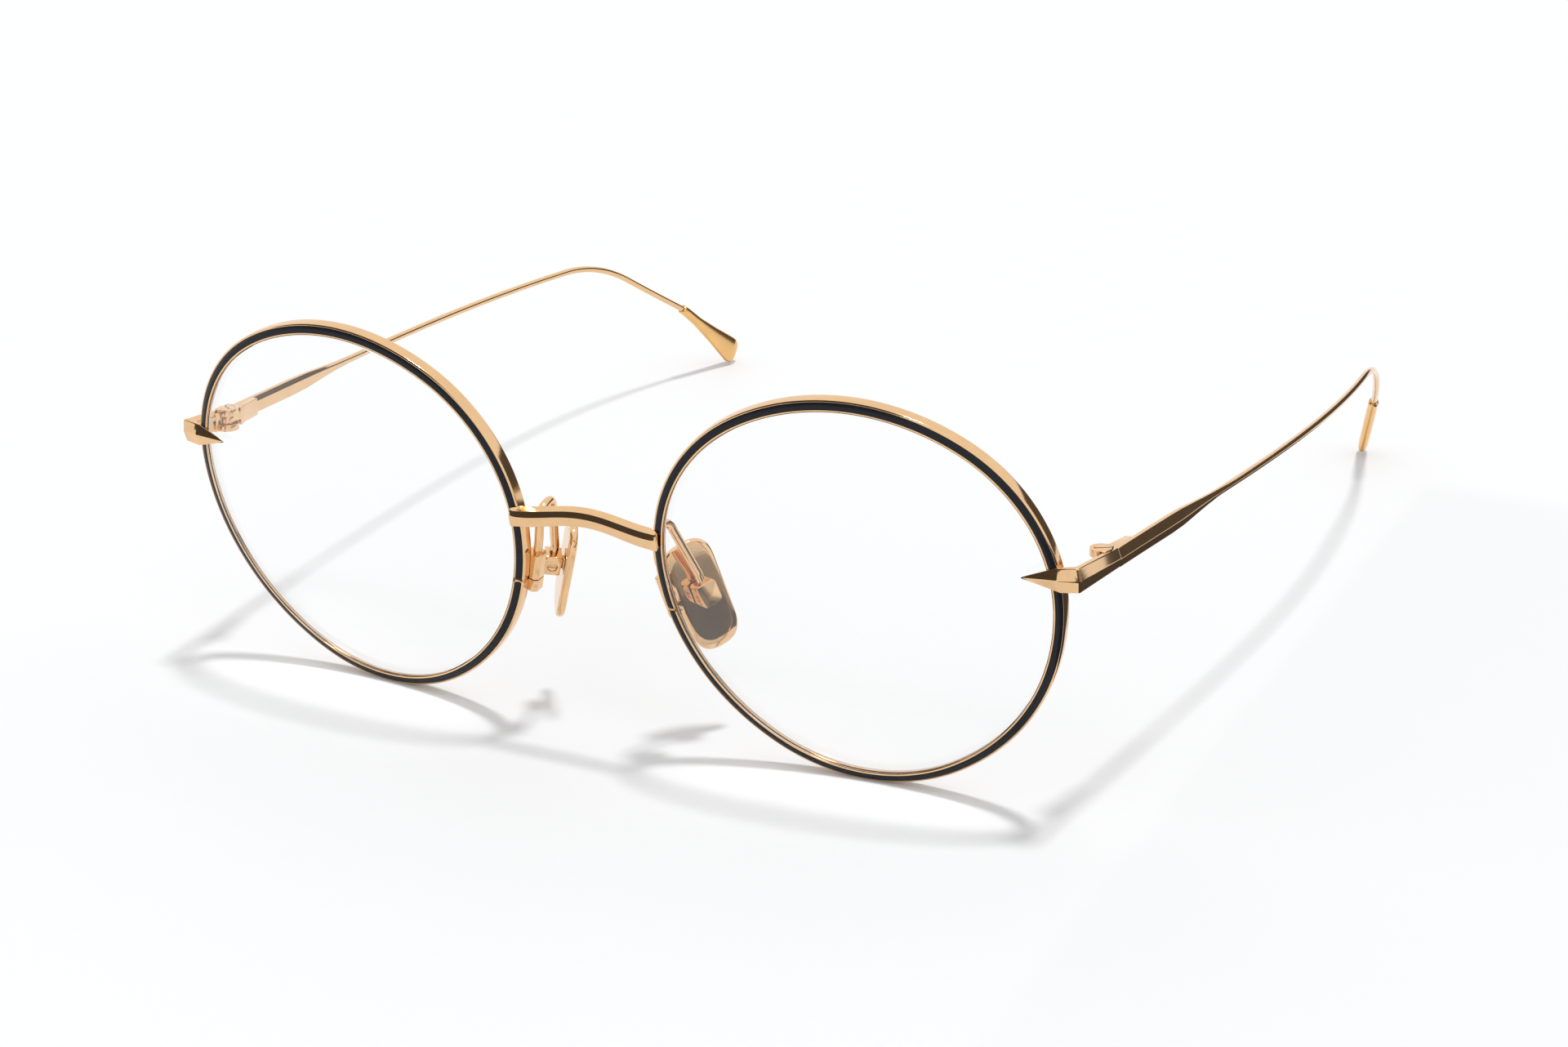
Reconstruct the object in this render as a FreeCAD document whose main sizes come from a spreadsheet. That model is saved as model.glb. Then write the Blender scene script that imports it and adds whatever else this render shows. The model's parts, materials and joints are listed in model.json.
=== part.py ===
import FreeCAD, Part
import math
import os
import re
import Sketcher

# Eyeglasses: round metal rims, bridge, rim locks, nose pads, hinged temples.
# Millimetres. +Z up, the front faces -Y, the wearer's left eye is at +X.
# Everything is laid out in the front's own frame (lens plane upright) and then
# stood on the ground together, on the two rims and the two temple tips.

V = FreeCAD.Vector
PL = FreeCAD.Placement
ROT = FreeCAD.Rotation
XAX, YAX, ZAX = V(1, 0, 0), V(0, 1, 0), V(0, 0, 1)

SIZES = [
    # lenses and their spacing
    ("lens_radius", 25.0),
    ("lens_lobe", 0.473),
    ("lens_gap", 20.3),
    ("wrap_angle", 4.25),
    ("lens_curve", 130.0),
    ("lens_thick", 1.8),
    ("bevel_rise", 0.42),
    ("lens_play", 0.03),
    # rim section: depths are measured forward from the enamel's middle
    ("rim_lip", 0.42),
    ("rim_wall", 0.92),
    ("rim_nose", 0.14),
    ("rim_shoulder", 0.18),
    ("rim_back", 1.80),
    ("rim_round", 0.22),
    ("groove_mid", 0.85),
    ("groove_half", 0.34),
    ("split_width", 0.12),
    ("enamel_inner", 0.24),
    ("enamel_outer", 0.26),
    ("enamel_deep", 0.22),
    ("enamel_dome", 0.05),
    # rim lock
    ("lock_drop", 5.5),
    ("lock_upper", 3.65),
    ("lock_lower", 1.75),
    ("lock_reach", 2.1),
    ("lock_front", 1.38),
    ("lock_back", 3.42),
    ("lock_bevel", 0.4),
    ("lock_screw", 0.35),
    ("lock_head", 0.58),
    ("lock_head_deep", 0.55),
    # bridge
    ("bridge_height", 4.45),
    ("bridge_arch", 1.05),
    ("bridge_stand", 0.55),
    ("bridge_tall", 2.1),
    ("bridge_deep", 1.7),
    # end piece, angles and heights on the temporal side of the rim
    ("end_height", 5.75),
    ("end_tall", 3.2),
    ("end_point", 4.1),
    ("end_out", 2.45),
    ("end_proud", 1.0),
    ("corner_proud", 0.12),
    ("arm_length", 11.1),
    ("arm_tall", 2.3),
    ("arm_wide", 1.4),
    ("arm_drop", 0.3),
    # hinge
    ("hinge_in", 1.7),
    ("hinge_before", 1.9),
    ("barrel_radius", 1.55),
    ("barrel_inner", 1.1),
    ("barrel_proud", 0.4),
    ("barrel_top", 0.95),
    ("barrel_middle", 1.10),
    ("barrel_bottom", 0.85),
    ("barrel_play", 0.05),
    ("barrel_relief", 0.20),
    ("hinge_screw", 0.5),
    ("screw_play", 0.04),
    ("hinge_head", 1.05),
    ("hinge_head_deep", 0.50),
    ("slot_wide", 0.28),
    ("slot_deep", 0.28),
    # temple
    ("temple_slope", 11.79),
    ("temple_run", 94.2),
    ("bend_radius", 35.35),
    ("ear_slope", 40.9),
    ("ear_run", 13.35),
    ("hook_radius", 20.0),
    ("hook_slope", 52.0),
    ("tip_run", 13.9),
    ("temple_splay", 4.53),
    ("temple_tuck", 14.3),
    ("temple_inset", 1.4),
    ("butt_gap", 0.06),
    ("blade_length", 30.0),
    ("wire_radius", 0.5),
    ("root_length", 5.0),
    ("tip_overlap", 2.0),
    ("tip_socket", 6.0),
    ("tip_play", 0.02),
    ("tip_neck", 0.75),
    ("tip_wide", 4.6),
    ("tip_thick", 1.6),
    # nose pads
    ("pad_across", 22.75),
    ("pad_back", 7.0),
    ("pad_drop", 7.5),
    ("pad_splay", 34.0),
    ("pad_lean", 14.0),
    ("pad_roll", 11.0),
    ("pad_tall", 14.6),
    ("pad_wide", 6.2),
    ("pad_narrow", 7.2),
    ("pad_thick", 1.1),
    ("pad_corner", 2.6),
    ("pad_edge", 0.4),
    ("pad_low", 0.7),
    ("pad_gap", 0.25),
    ("box_tall", 3.0),
    ("box_wide", 2.7),
    ("box_deep", 2.1),
    ("box_round", 0.5),
    ("box_wall", 0.45),
    ("box_end", 0.30),
    ("stem_thick", 1.1),
    ("stem_play", 0.06),
    ("stem_radius", 0.68),
    ("pad_screw", 0.32),
    ("pad_head", 0.6),
    ("pad_head_deep", 0.35),
    ("arm_wire", 0.58),
    ("loop_rise", 3.6),
    ("loop_round", 1.8),
    ("loop_in", 0.9),
    ("loop_back", 0.6),
    ("loop_long", 3.4),
]

doc = FreeCAD.newDocument("Eyeglasses")
sheet = doc.addObject("Spreadsheet::Sheet", "Sizes")
for row, (alias, number) in enumerate(SIZES, start=1):
    sheet.set("A%d" % row, alias)
    sheet.set("B%d" % row, str(number))
    sheet.setAlias("B%d" % row, alias)
doc.recompute()

ALIASES = {alias for alias, _ in SIZES}
SOURCES = []
PARTS = []


def size(words):
    """The value of an expression in the sheet's aliases."""
    result = sheet.evalExpression(words)
    return float(getattr(result, "Value", result))


def bound(words):
    """The same expression, written for another object of the document."""
    return re.sub(r"[a-z]+(?:_[a-z]+)+", lambda m: "Sizes." + m.group(0), words)


def keep(obj, node):
    """Names a finished sub-part and lists it for export."""
    obj.Label = node
    PARTS.append(obj)
    return obj


def place(obj, placement):
    """Puts a source object in the front's frame."""
    obj.Placement = placement
    SOURCES.append(obj)
    return obj


def origin_plane(body, role):
    return [p for p in body.Origin.OriginFeatures if p.Role == role][0]


def new_body(name):
    return doc.addObject("PartDesign::Body", name)


def new_sketch(body, role, name):
    sketch = body.newObject("Sketcher::SketchObject", name)
    sketch.AttachmentSupport = [(origin_plane(body, role), "")]
    sketch.MapMode = "FlatFace"
    return sketch


def tie(sketch, kind, where, words):
    """A dimension bound to the sheet."""
    index = sketch.addConstraint(Sketcher.Constraint(kind, *where, size(words)))
    sketch.setExpression("Constraints[%d]" % index, bound(words))


def outline(sketch, points):
    """A closed polygon whose corners are bound to the sheet."""
    spots = [V(size(x), size(y), 0) for x, y in points]
    count = len(spots)
    for i in range(count):
        sketch.addGeometry(Part.LineSegment(spots[i], spots[(i + 1) % count]), False)
    for i in range(count):
        sketch.addConstraint(Sketcher.Constraint("Coincident", i, 2, (i + 1) % count, 1))
    for i, (x, y) in enumerate(points):
        tie(sketch, "DistanceX", (-1, 1, i, 1), x)
        tie(sketch, "DistanceY", (-1, 1, i, 1), y)


LOBE = "lens_lobe/(1-sqrt(3)/2)"
TIGHT = "(lens_radius+lens_lobe-%s)" % LOBE
WIDE = "(lens_radius-lens_lobe+%s)" % LOBE


def lens_outline(sketch, offset):
    """Seven tangent arcs: three tight ones at 30, 150 and 270 degrees, three wide between."""
    ends = [270, 300, 360, 420, 480, 540, 600, 630]
    for i in range(7):
        first, last = ends[i], ends[i + 1]
        tight = i in (0, 2, 4, 6)
        lobe = {0: 270, 1: 330, 2: 30, 3: 90, 4: 150, 5: 210, 6: 270}[i]
        away = size(LOBE) * (1 if tight else -1)
        radius = (TIGHT if tight else WIDE) + "+(" + offset + ")"
        centre = V(away * math.cos(math.radians(lobe)), away * math.sin(math.radians(lobe)), 0)
        circle = Part.Circle(centre, ZAX, size(radius))
        sketch.addGeometry(Part.ArcOfCircle(circle, math.radians(first), math.radians(last)), False)
        nearest = {270: 270, 300: 270, 360: 30, 420: 30, 480: 150, 540: 150, 600: 270}[first]
        reach = TIGHT + "+(" + offset + ")"
        spot = "(%s)*{0}(%d deg)+(%s)*{0}(%d deg)" % (LOBE, nearest, reach, first)
        tie(sketch, "DistanceX", (-1, 1, i, 1), spot.format("cos"))
        tie(sketch, "DistanceY", (-1, 1, i, 1), spot.format("sin"))
        tie(sketch, "Radius", (i,), radius)
    for i in range(7):
        sketch.addConstraint(Sketcher.Constraint("Coincident", i, 2, (i + 1) % 7, 1))


def swept(name, points, placement):
    """A section at the outline's lowest point carried round the lens outline."""
    body = new_body(name)
    spine = new_sketch(body, "XY_Plane", name + "_spine")
    lens_outline(spine, "0")
    section = new_sketch(body, "YZ_Plane", name + "_section")
    outline(section, [("0-(%s)-lens_lobe" % r, z) for r, z in points])
    pipe = body.newObject("PartDesign::AdditivePipe", name + "_pipe")
    pipe.Profile = section
    pipe.Spine = (spine, ["Edge%d" % (i + 1) for i in range(7)])
    spine.Visibility = False
    section.Visibility = False
    return place(body, placement)


def padded(name, role, draw, length, placement, middle=False, reverse=False):
    """A sketch on one of the body's planes padded by a bound length."""
    body = new_body(name)
    sketch = new_sketch(body, role, name + "_outline")
    draw(sketch)
    pad = body.newObject("PartDesign::Pad", name + "_pad")
    pad.Profile = sketch
    pad.setExpression("Length", bound(length))
    pad.Midplane = middle
    pad.Reversed = reverse
    place(body, placement)
    return body


def primitive(kind, name, sizes, placement):
    """A Part primitive with its sizes bound to the sheet."""
    obj = doc.addObject(kind, name)
    for key, words in sizes.items():
        obj.setExpression(key, bound(words))
    return place(obj, placement)


def rod(name, radius, length, placement):
    return primitive("Part::Cylinder", name, {"Radius": radius, "Height": length}, placement)


def joined(name, pieces):
    fuse = doc.addObject("Part::MultiFuse", name)
    fuse.Shapes = pieces
    fuse.Refine = True
    return fuse


def cut(name, base, tools):
    """The base with every tool taken away."""
    result = doc.addObject("Part::Cut", name)
    result.Base = base
    result.Tool = tools[0] if len(tools) == 1 else joined(name + "_tools", tools)
    return result


def common(name, first, second):
    result = doc.addObject("Part::Common", name)
    result.Base = first
    result.Tool = second
    return result


def solid(name, shape):
    """A swept or lofted shape that no feature makes directly."""
    feature = doc.addObject("Part::Feature", name)
    feature.Shape = shape
    return place(feature, PL())


def shift(x, y, z):
    return PL(V(x, y, z), ROT())


def turn_about(axis, degrees):
    return PL(V(0, 0, 0), ROT(axis, degrees))


# Frames -------------------------------------------------------------------

def lens_frame():
    """Lens centre, X outwards, Y up, Z towards the front."""
    centre = size("lens_radius+lens_gap/2")
    return shift(centre, 0, 0) * turn_about(ZAX, size("wrap_angle")) * turn_about(XAX, 90)


def lock_frame():
    """On the nominal lens edge at the split: X away from the lens, Y down the rim."""
    lobe = size(LOBE)
    normal = math.degrees(math.asin((size("lock_drop") + lobe / 2) / size(WIDE)))
    centre = shift(lobe * math.cos(math.radians(30)), lobe / 2, 0)
    return lens_frame() * centre * turn_about(ZAX, 180 + normal) * shift(size(WIDE), 0, 0)


def rim_point(height, forward, offset, side=1):
    """A point of the rim at a height above the lens centre; side 1 is the temple's."""
    lobe = size(LOBE)
    upper = height >= lobe / 2
    radius = (size(TIGHT) if upper else size(WIDE)) + offset
    out = lobe * math.cos(math.radians(30)) * (1 if upper else -1)
    out += math.sqrt(radius**2 - (height - lobe / 2) ** 2)
    return lens_frame().multVec(V(side * out, height, forward))


def temple_line():
    """The temple's direction and the hinge's axis, both square to X."""
    fall = math.radians(size("temple_slope"))
    along = V(0, math.cos(fall), -math.sin(fall))
    upward = V(0, math.sin(fall), math.cos(fall))
    return along, upward


def end_corner():
    """The end piece's outer corner, on its front ridge."""
    rim = rim_point(size("end_height"), 0.0, size("rim_wall"))
    return rim + V(size("end_out"), -size("corner_proud"), 0.1)


def butt_point():
    """Where the end piece's arm stops, on the crease of its outer side."""
    along, _ = temple_line()
    lean = math.tan(math.radians(size("temple_splay")))
    aside = V(lean * size("arm_length"), 0, -size("arm_drop"))
    return end_corner() + along * size("arm_length") + aside


def hinge_frame():
    """Hinge axis: X outwards, Y along the temple, Z up the axis."""
    along, upward = temple_line()
    stack = size("barrel_top+barrel_middle+barrel_bottom+2*barrel_play")
    top = size("arm_tall") * 0.55 + size("barrel_proud")
    spot = butt_point() - along * size("hinge_before") - V(size("hinge_in"), 0, 0)
    spot = spot + upward * (top - stack)
    return PL(spot, ROT(XAX, along, upward, "ZYX"))


def temple_path(run):
    """Centre, tangent and upward side of the temple, run millimetres from the butt."""
    first, second = math.radians(size("temple_slope")), math.radians(size("ear_slope"))
    third = math.radians(size("hook_slope"))
    pieces = [
        (size("temple_run"), None, first, first),
        (size("bend_radius") * (second - first), size("bend_radius"), first, second),
        (size("ear_run"), None, second, second),
        (size("hook_radius") * (third - second), size("hook_radius"), second, third),
        (size("tip_run"), None, third, third),
    ]
    start = butt_point() - V(size("arm_wide") / 2, 0, 0) + temple_line()[1] * 0.12
    y, z, left, slope = start.y, start.z, run, first
    for length, radius, before, after in pieces:
        step = min(left, length)
        if radius is None:
            slope = after
            y += step * math.cos(slope)
            z -= step * math.sin(slope)
        else:
            slope = before + step / radius
            y += radius * (math.sin(slope) - math.sin(before))
            z -= radius * (math.cos(before) - math.cos(slope))
        left -= step
        if left <= 0:
            break
    bow = size("temple_run+ear_run") + pieces[1][0]
    out, tuck = (math.tan(math.radians(size(k))) for k in ("temple_splay", "temple_tuck"))
    part = min(run / bow, 1.0)
    x = (part**3 - 2 * part**2 + part) * bow * out
    x -= (3 * part**2 - 2 * part**3) * size("temple_inset")
    x += (part**2 - part**3) * bow * tuck
    if run > bow:
        x -= (run - bow) * tuck
    lean = (3 * part**2 - 4 * part + 1) * out - (6 * part - 6 * part**2) * size("temple_inset") / bow
    lean += (2 * part - 3 * part**2) * tuck
    tangent = V(lean, math.cos(slope), -math.sin(slope))
    tangent.normalize()
    return V(start.x + x, y, z), tangent, V(0, math.sin(slope), math.cos(slope))


def temple_length():
    first, second, third = (math.radians(size(k)) for k in ("temple_slope", "ear_slope", "hook_slope"))
    bends = size("bend_radius") * (second - first) + size("hook_radius") * (third - second)
    return size("temple_run+ear_run+tip_run") + bends


# Front --------------------------------------------------------------------

def rim_section():
    """Lens groove inside, tilted front face with its enamel channel, round outer band."""
    inner, outer = "lens_radius-rim_lip", "lens_radius+rim_wall"
    root = "lens_radius+lens_play"
    near, far = "lens_radius-rim_lip+enamel_inner", "lens_radius+rim_wall-enamel_outer"
    return [
        (inner, "rim_nose-0.06"),
        ("lens_radius-rim_lip+0.06", "rim_nose"),
        (near, "rim_nose-0.04"),
        (near, "rim_nose-0.04-enamel_deep"),
        (far, "0-rim_shoulder+0.04-enamel_deep"),
        (far, "0-rim_shoulder+0.04"),
        (outer, "0-rim_shoulder-0.06"),
        (outer, "0-rim_back+rim_round"),
        ("lens_radius+rim_wall-rim_round", "0-rim_back"),
        ("lens_radius-rim_lip+rim_round", "0-rim_back"),
        (inner, "0-rim_back+rim_round"),
        (inner, "0-groove_mid-groove_half-0.08"),
        (root, "0-groove_mid-0.10"),
        (root, "0-groove_mid+0.10"),
        (inner, "0-groove_mid+groove_half+0.08"),
    ]


def enamel_section():
    """Fills the channel and stands very slightly domed."""
    near, far = "lens_radius-rim_lip+enamel_inner", "lens_radius+rim_wall-enamel_outer"
    middle = "lens_radius+(rim_wall-rim_lip+enamel_inner-enamel_outer)/2"
    return [
        (near, "rim_nose-0.04"),
        (middle, "(rim_nose-rim_shoulder)/2+enamel_dome"),
        (far, "0-rim_shoulder+0.04"),
        (far, "0-rim_shoulder+0.04-enamel_deep"),
        (near, "rim_nose-0.04-enamel_deep"),
    ]


def sector(name, angles, placement):
    """A wide wedge from the lens axis between the first and the last angle."""
    def draw(sketch):
        corners = [("0", "0")] + [("60*cos(%s)" % a, "60*sin(%s)" % a) for a in angles]
        outline(sketch, corners)

    return padded(name, "XY_Plane", draw, "20", placement * shift(0, 0, -10))


def rim_parts():
    """Rim, its three lengths of enamel and the split at the lock."""
    frame = lens_frame()
    tube = swept("Rim", rim_section(), frame)
    split = primitive(
        "Part::Box", "RimSplit", {"Length": "6", "Width": "split_width", "Height": "8"},
        lock_frame() * shift(-3, -size("split_width/2"), -5),
    )
    keep(cut("RimShape", tube, [split]), "rim_left")
    fill = swept("Enamel", enamel_section(), frame)
    low = "asin((end_height-end_tall*0.5)/lens_radius)"
    high = "asin((end_height+end_tall*0.5)/lens_radius)"
    under = "asin((bridge_height-bridge_tall*0.6)/lens_radius)"
    over = "asin((bridge_height+bridge_tall*0.45)/lens_radius)"
    lock = "asin(lock_drop/lens_radius)"
    spare, slit = "0.4 deg", "split_width/lens_radius*1 rad"
    arcs = [
        ("enamel_top_left", [high + "+" + spare, "60 deg", "120 deg", "180 deg-%s-%s" % (over, spare)]),
        ("enamel_nose_left", ["180 deg-%s+%s" % (under, spare), "180 deg+%s-%s" % (lock, slit)]),
        ("enamel_bottom_left", [
            "180 deg+%s+%s" % (lock, slit), "240 deg", "300 deg", "345 deg", "360 deg+%s-%s" % (low, spare),
        ]),
    ]
    for node, angles in arcs:
        wedge = sector(node.title() + "Sector", angles, frame)
        keep(common(node.title(), fill, wedge), node)


def lens_part():
    """A bevelled blank between two concentric spheres."""
    frame = lens_frame()
    flat = "0-bevel_rise-0.06"
    core = padded("LensCore", "XY_Plane", lambda sketch: lens_outline(sketch, flat), "14", frame * shift(0, 0, -8))
    ridge = swept("LensBevel", [
        ("lens_radius-bevel_rise-0.3", "0-groove_mid-groove_half-0.02"),
        ("lens_radius-bevel_rise-0.06", "0-groove_mid-groove_half-0.02"),
        ("lens_radius", "0-groove_mid-0.06"), ("lens_radius", "0-groove_mid+0.06"),
        ("lens_radius-bevel_rise-0.06", "0-groove_mid+groove_half+0.02"),
        ("lens_radius-bevel_rise-0.3", "0-groove_mid+groove_half+0.02"),
    ], frame)
    reach = math.sqrt(size("lens_curve") ** 2 - size("lens_radius") ** 2)
    centre = frame * shift(0, 0, size("lens_thick/2-groove_mid") - reach)
    front = primitive("Part::Sphere", "LensFront", {"Radius": "lens_curve"}, centre)
    back = primitive("Part::Sphere", "LensBack", {"Radius": "lens_curve-lens_thick"}, centre)
    blank = joined("LensBlank", [core, ridge])
    keep(cut("LensShape", common("LensDisc", blank, front), [back]), "lens_left")


def lock_parts():
    """Closing block behind the rim in two halves with the split between, and its screw."""
    frame = lock_frame()
    face = [
        ("0", "0-lock_back"), ("lock_reach-lock_bevel", "0-lock_back"),
        ("lock_reach", "0-lock_back+lock_bevel"), ("lock_reach", "0-lock_front-lock_bevel"),
        ("lock_reach-lock_bevel", "0-lock_front"), ("0", "0-lock_front"),
    ]
    middle = size("lock_reach/2")
    depth = size("0-rim_back-lock_head-0.08")
    gap = size("split_width/2")
    rim = [o for o in PARTS if o.Label == "rim_left"][0]
    halves = {}
    for name, length, reverse in (("Upper", "lock_upper", False), ("Lower", "lock_lower", True)):
        side = -gap if name == "Upper" else gap
        halves[name] = padded(
            "Lock" + name, "XZ_Plane", lambda sketch: outline(sketch, face),
            length, frame * shift(0, side, 0), reverse=reverse,
        )
    axis = frame * shift(middle, size("lock_lower") + gap, depth) * turn_about(XAX, 90)
    head = rod("LockHeadRoom", "lock_head+0.05", "lock_head_deep+0.5", axis * shift(0, 0, -0.5))
    hole = rod("LockClearHole", "lock_screw+screw_play", "lock_lower+0.5", axis * shift(0, 0, -0.3))
    thread = rod("LockThread", "lock_screw", "lock_upper*0.7+0.1", axis * shift(0, 0, size("lock_lower")))
    keep(cut("LockUpperShape", halves["Upper"], [rim, thread]), "rim_lock_upper_left")
    keep(cut("LockLowerShape", halves["Lower"], [rim, head, hole]), "rim_lock_lower_left")
    shank = rod("LockShank", "lock_screw", "lock_lower+split_width+lock_upper*0.7-0.2", axis * shift(0, 0, 0.1))
    cap = rod("LockCap", "lock_head", "lock_head_deep", axis)
    slot = primitive(
        "Part::Box", "LockSlot", {"Length": "3*lock_head", "Width": "slot_wide", "Height": "slot_deep"},
        axis * shift(-1.5 * size("lock_head"), -size("slot_wide/2"), 0),
    )
    keep(cut("LockScrewShape", joined("LockScrewBlank", [shank, cap]), [slot]), "rim_lock_screw_left")


# Swept and lofted shapes -------------------------------------------------------

def loop(points):
    return Part.makePolygon(points + [points[0]])


def ruled(sections):
    return Part.makeLoft([loop(p) for p in sections], True, True)


def bridge_part(rim_shapes):
    """One bevelled bar arched over the nose, its ends lapped on the rims' fronts."""
    height, arch = size("bridge_height"), size("bridge_arch")
    tall, deep = size("bridge_tall"), size("bridge_deep")
    nose = rim_point(height, size("rim_nose"), 0, -1)
    inner = rim_point(height, 0, -size("rim_lip"), -1)
    front = nose.y - size("bridge_stand") - 0.3
    section = [(0.12, -0.64), (0.0, -0.05), (0.3, 0.24), (0.85, 0.40), (1.0, 0.05), (0.85, -0.55)]
    ends = [inner.x - 0.45, inner.x - 1.7]
    steps = 10
    places = [ends[0]] + [ends[1] * (1 - 2 * i / steps) for i in range(steps + 1)] + [-ends[0]]
    sections = []
    for x in places:
        rise = math.cos(math.pi * min(abs(x) / ends[0], 1) / 2) ** 2
        thin = 0.42 if abs(x) == ends[0] else 1.0
        low = 1.15 - 0.15 * rise
        sections.append([
            V(x, front + 0.45 * rise + a * deep * thin, height + arch * rise + (b * low if b < 0 else b) * tall)
            for a, b in section
        ])
    bar = ruled(sections)
    for shape in rim_shapes:
        bar = bar.cut(shape)
    keep(solid("BridgeBar", bar), "bridge")


def arm_section(spot, upward, tall, wide):
    """Bevelled section of the end piece's arm and the blade, about its outer crease."""
    corners = [(-1.0, 0.25), (-0.72, 0.56), (-0.38, 0.55), (0, 0), (-0.09, -0.45), (-0.95, -0.44)]
    return [spot + V(a * wide, 0, 0) + upward * b * tall for a, b in corners]


def end_piece(rim_shape, lens_shape):
    """Faceted spearhead on the rim's front, mitred corner, arm back to the hinge."""
    tall, wide = size("end_tall"), size("arm_wide")
    corner, (_, upward) = end_corner(), temple_line()
    rim = rim_point(size("end_height"), 0, size("rim_wall/2"))
    point = V(rim.x - size("end_point"), rim.y - 0.82, corner.z - 0.2)
    ridge = V(rim.x + 0.2, rim.y - size("end_proud"), corner.z + 0.2)
    sections = [
        [point + V(0, b, c) for b, c in ((0.1, 0), (0.08, 0.1), (0, 0.1), (-0.1, 0), (0, -0.1), (0.08, -0.1))],
        [
            ridge + V(0, 1.5, 0.1 * tall), ridge + V(-0.2, 1.2, 0.36 * tall), ridge + V(-0.3, 0.75, 0.39 * tall),
            ridge, ridge + V(0.3, 0.6, -0.58 * tall), ridge + V(0.3, 1.3, -0.55 * tall),
        ],
        [
            corner + V(-wide, wide, 0.3 * tall), corner + V(-0.75, 0.55, 0.53 * tall),
            corner + V(-0.34, 0.06, 0.53 * tall), corner,
            corner + V(-0.2, 0.1, -0.47 * tall), corner + V(-wide, wide, -0.45 * tall),
        ],
        arm_section(butt_point(), upward, size("arm_tall"), wide),
    ]
    pocket_frame = hinge_frame()
    stack = size("barrel_top+barrel_middle+barrel_bottom+2*barrel_play")
    shape = ruled(sections).cut(rim_shape).cut(lens_shape)
    rooms = [
        (size("barrel_inner+0.10"), size("barrel_bottom"), size("barrel_middle+2*barrel_play")),
        (size("hinge_screw+screw_play"), 0, stack),
        (size("hinge_head") + 0.05, stack - size("hinge_head_deep"), 2),
    ]
    for radius, low, long in rooms:
        room = Part.makeCylinder(radius, long)
        room.Placement = pocket_frame * shift(0, 0, low)
        shape = shape.cut(room)
    keep(solid("EndPiece", shape), "endpiece_left")
    return shape


def blade_sections():
    """The temple's flat blade, drawn down until it is inside the wire."""
    length = size("blade_length")
    marks = [(0, 1.0), (0.5, 1.0), (0.62, 0.93), (0.75, 0.78), (0.9, 0.56), (1.05, 0.42), (1.25, 0.28), (1.4, 0.20)]
    sections = []
    for part, scale in marks:
        spot, _, upward = temple_path(part * length + (size("butt_gap") if part == 0 else 0))
        tall, wide = size("arm_tall") * scale, size("arm_wide") * scale
        crease = spot + V(wide / 2, 0, 0) - upward * 0.08 * tall
        sections.append(arm_section(crease, upward, tall, wide))
    return sections


def ring_at(run, across, thick, turn_in=0.0):
    """An ellipse square to the temple's path: across in its upright plane."""
    spot, tangent, upward = temple_path(run)
    side = tangent.cross(upward)
    side.normalize()
    upright = side.cross(tangent)
    if abs(across - thick) < 1e-6:
        curve = Part.Circle(spot, tangent, across)
        curve.XAxis = upright
    else:
        curve = Part.Ellipse(spot + upright * across, spot + side * thick, spot)
    return Part.Wire([curve.toShape()])


def tube(first, last, radius, count, start=1.0):
    """A round bar along the temple's path, its first ring scaled down by start."""
    rings = []
    for i in range(count):
        grown = radius * min(1.0, start + (1 - start) * i / 2)
        rings.append(ring_at(first + (last - first) * i / (count - 1), grown, grown))
    return Part.makeLoft(rings, True, False)


def temple_parts():
    """Blade and wire in one, and the flattened end tip sleeved over the wire."""
    total, tip = temple_length(), size("tip_run+tip_overlap")
    start = total - tip
    wire_end = start + size("tip_socket")
    wire = tube(size("blade_length") * 0.72, wire_end - 0.3, size("wire_radius"), 24, 0.5)
    temple = ruled(blade_sections()).fuse(wire)
    wide, thick, neck = size("tip_wide") / 2, size("tip_thick") / 2, size("tip_neck")
    marks = [(0, neck, neck * 0.99), (0.28, 1.15 * neck, thick), (0.55, 0.62 * wide, thick),
             (0.8, 0.9 * wide, thick), (0.95, wide, 0.95 * thick), (1.0, 0.93 * wide, 0.7 * thick)]
    rings = [ring_at(start + part * tip, a, b) for part, a, b in marks]
    sleeve = Part.makeLoft(rings, True, False).cut(temple)
    keep(solid("EarTip", sleeve), "temple_tip_left")
    return temple


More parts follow.
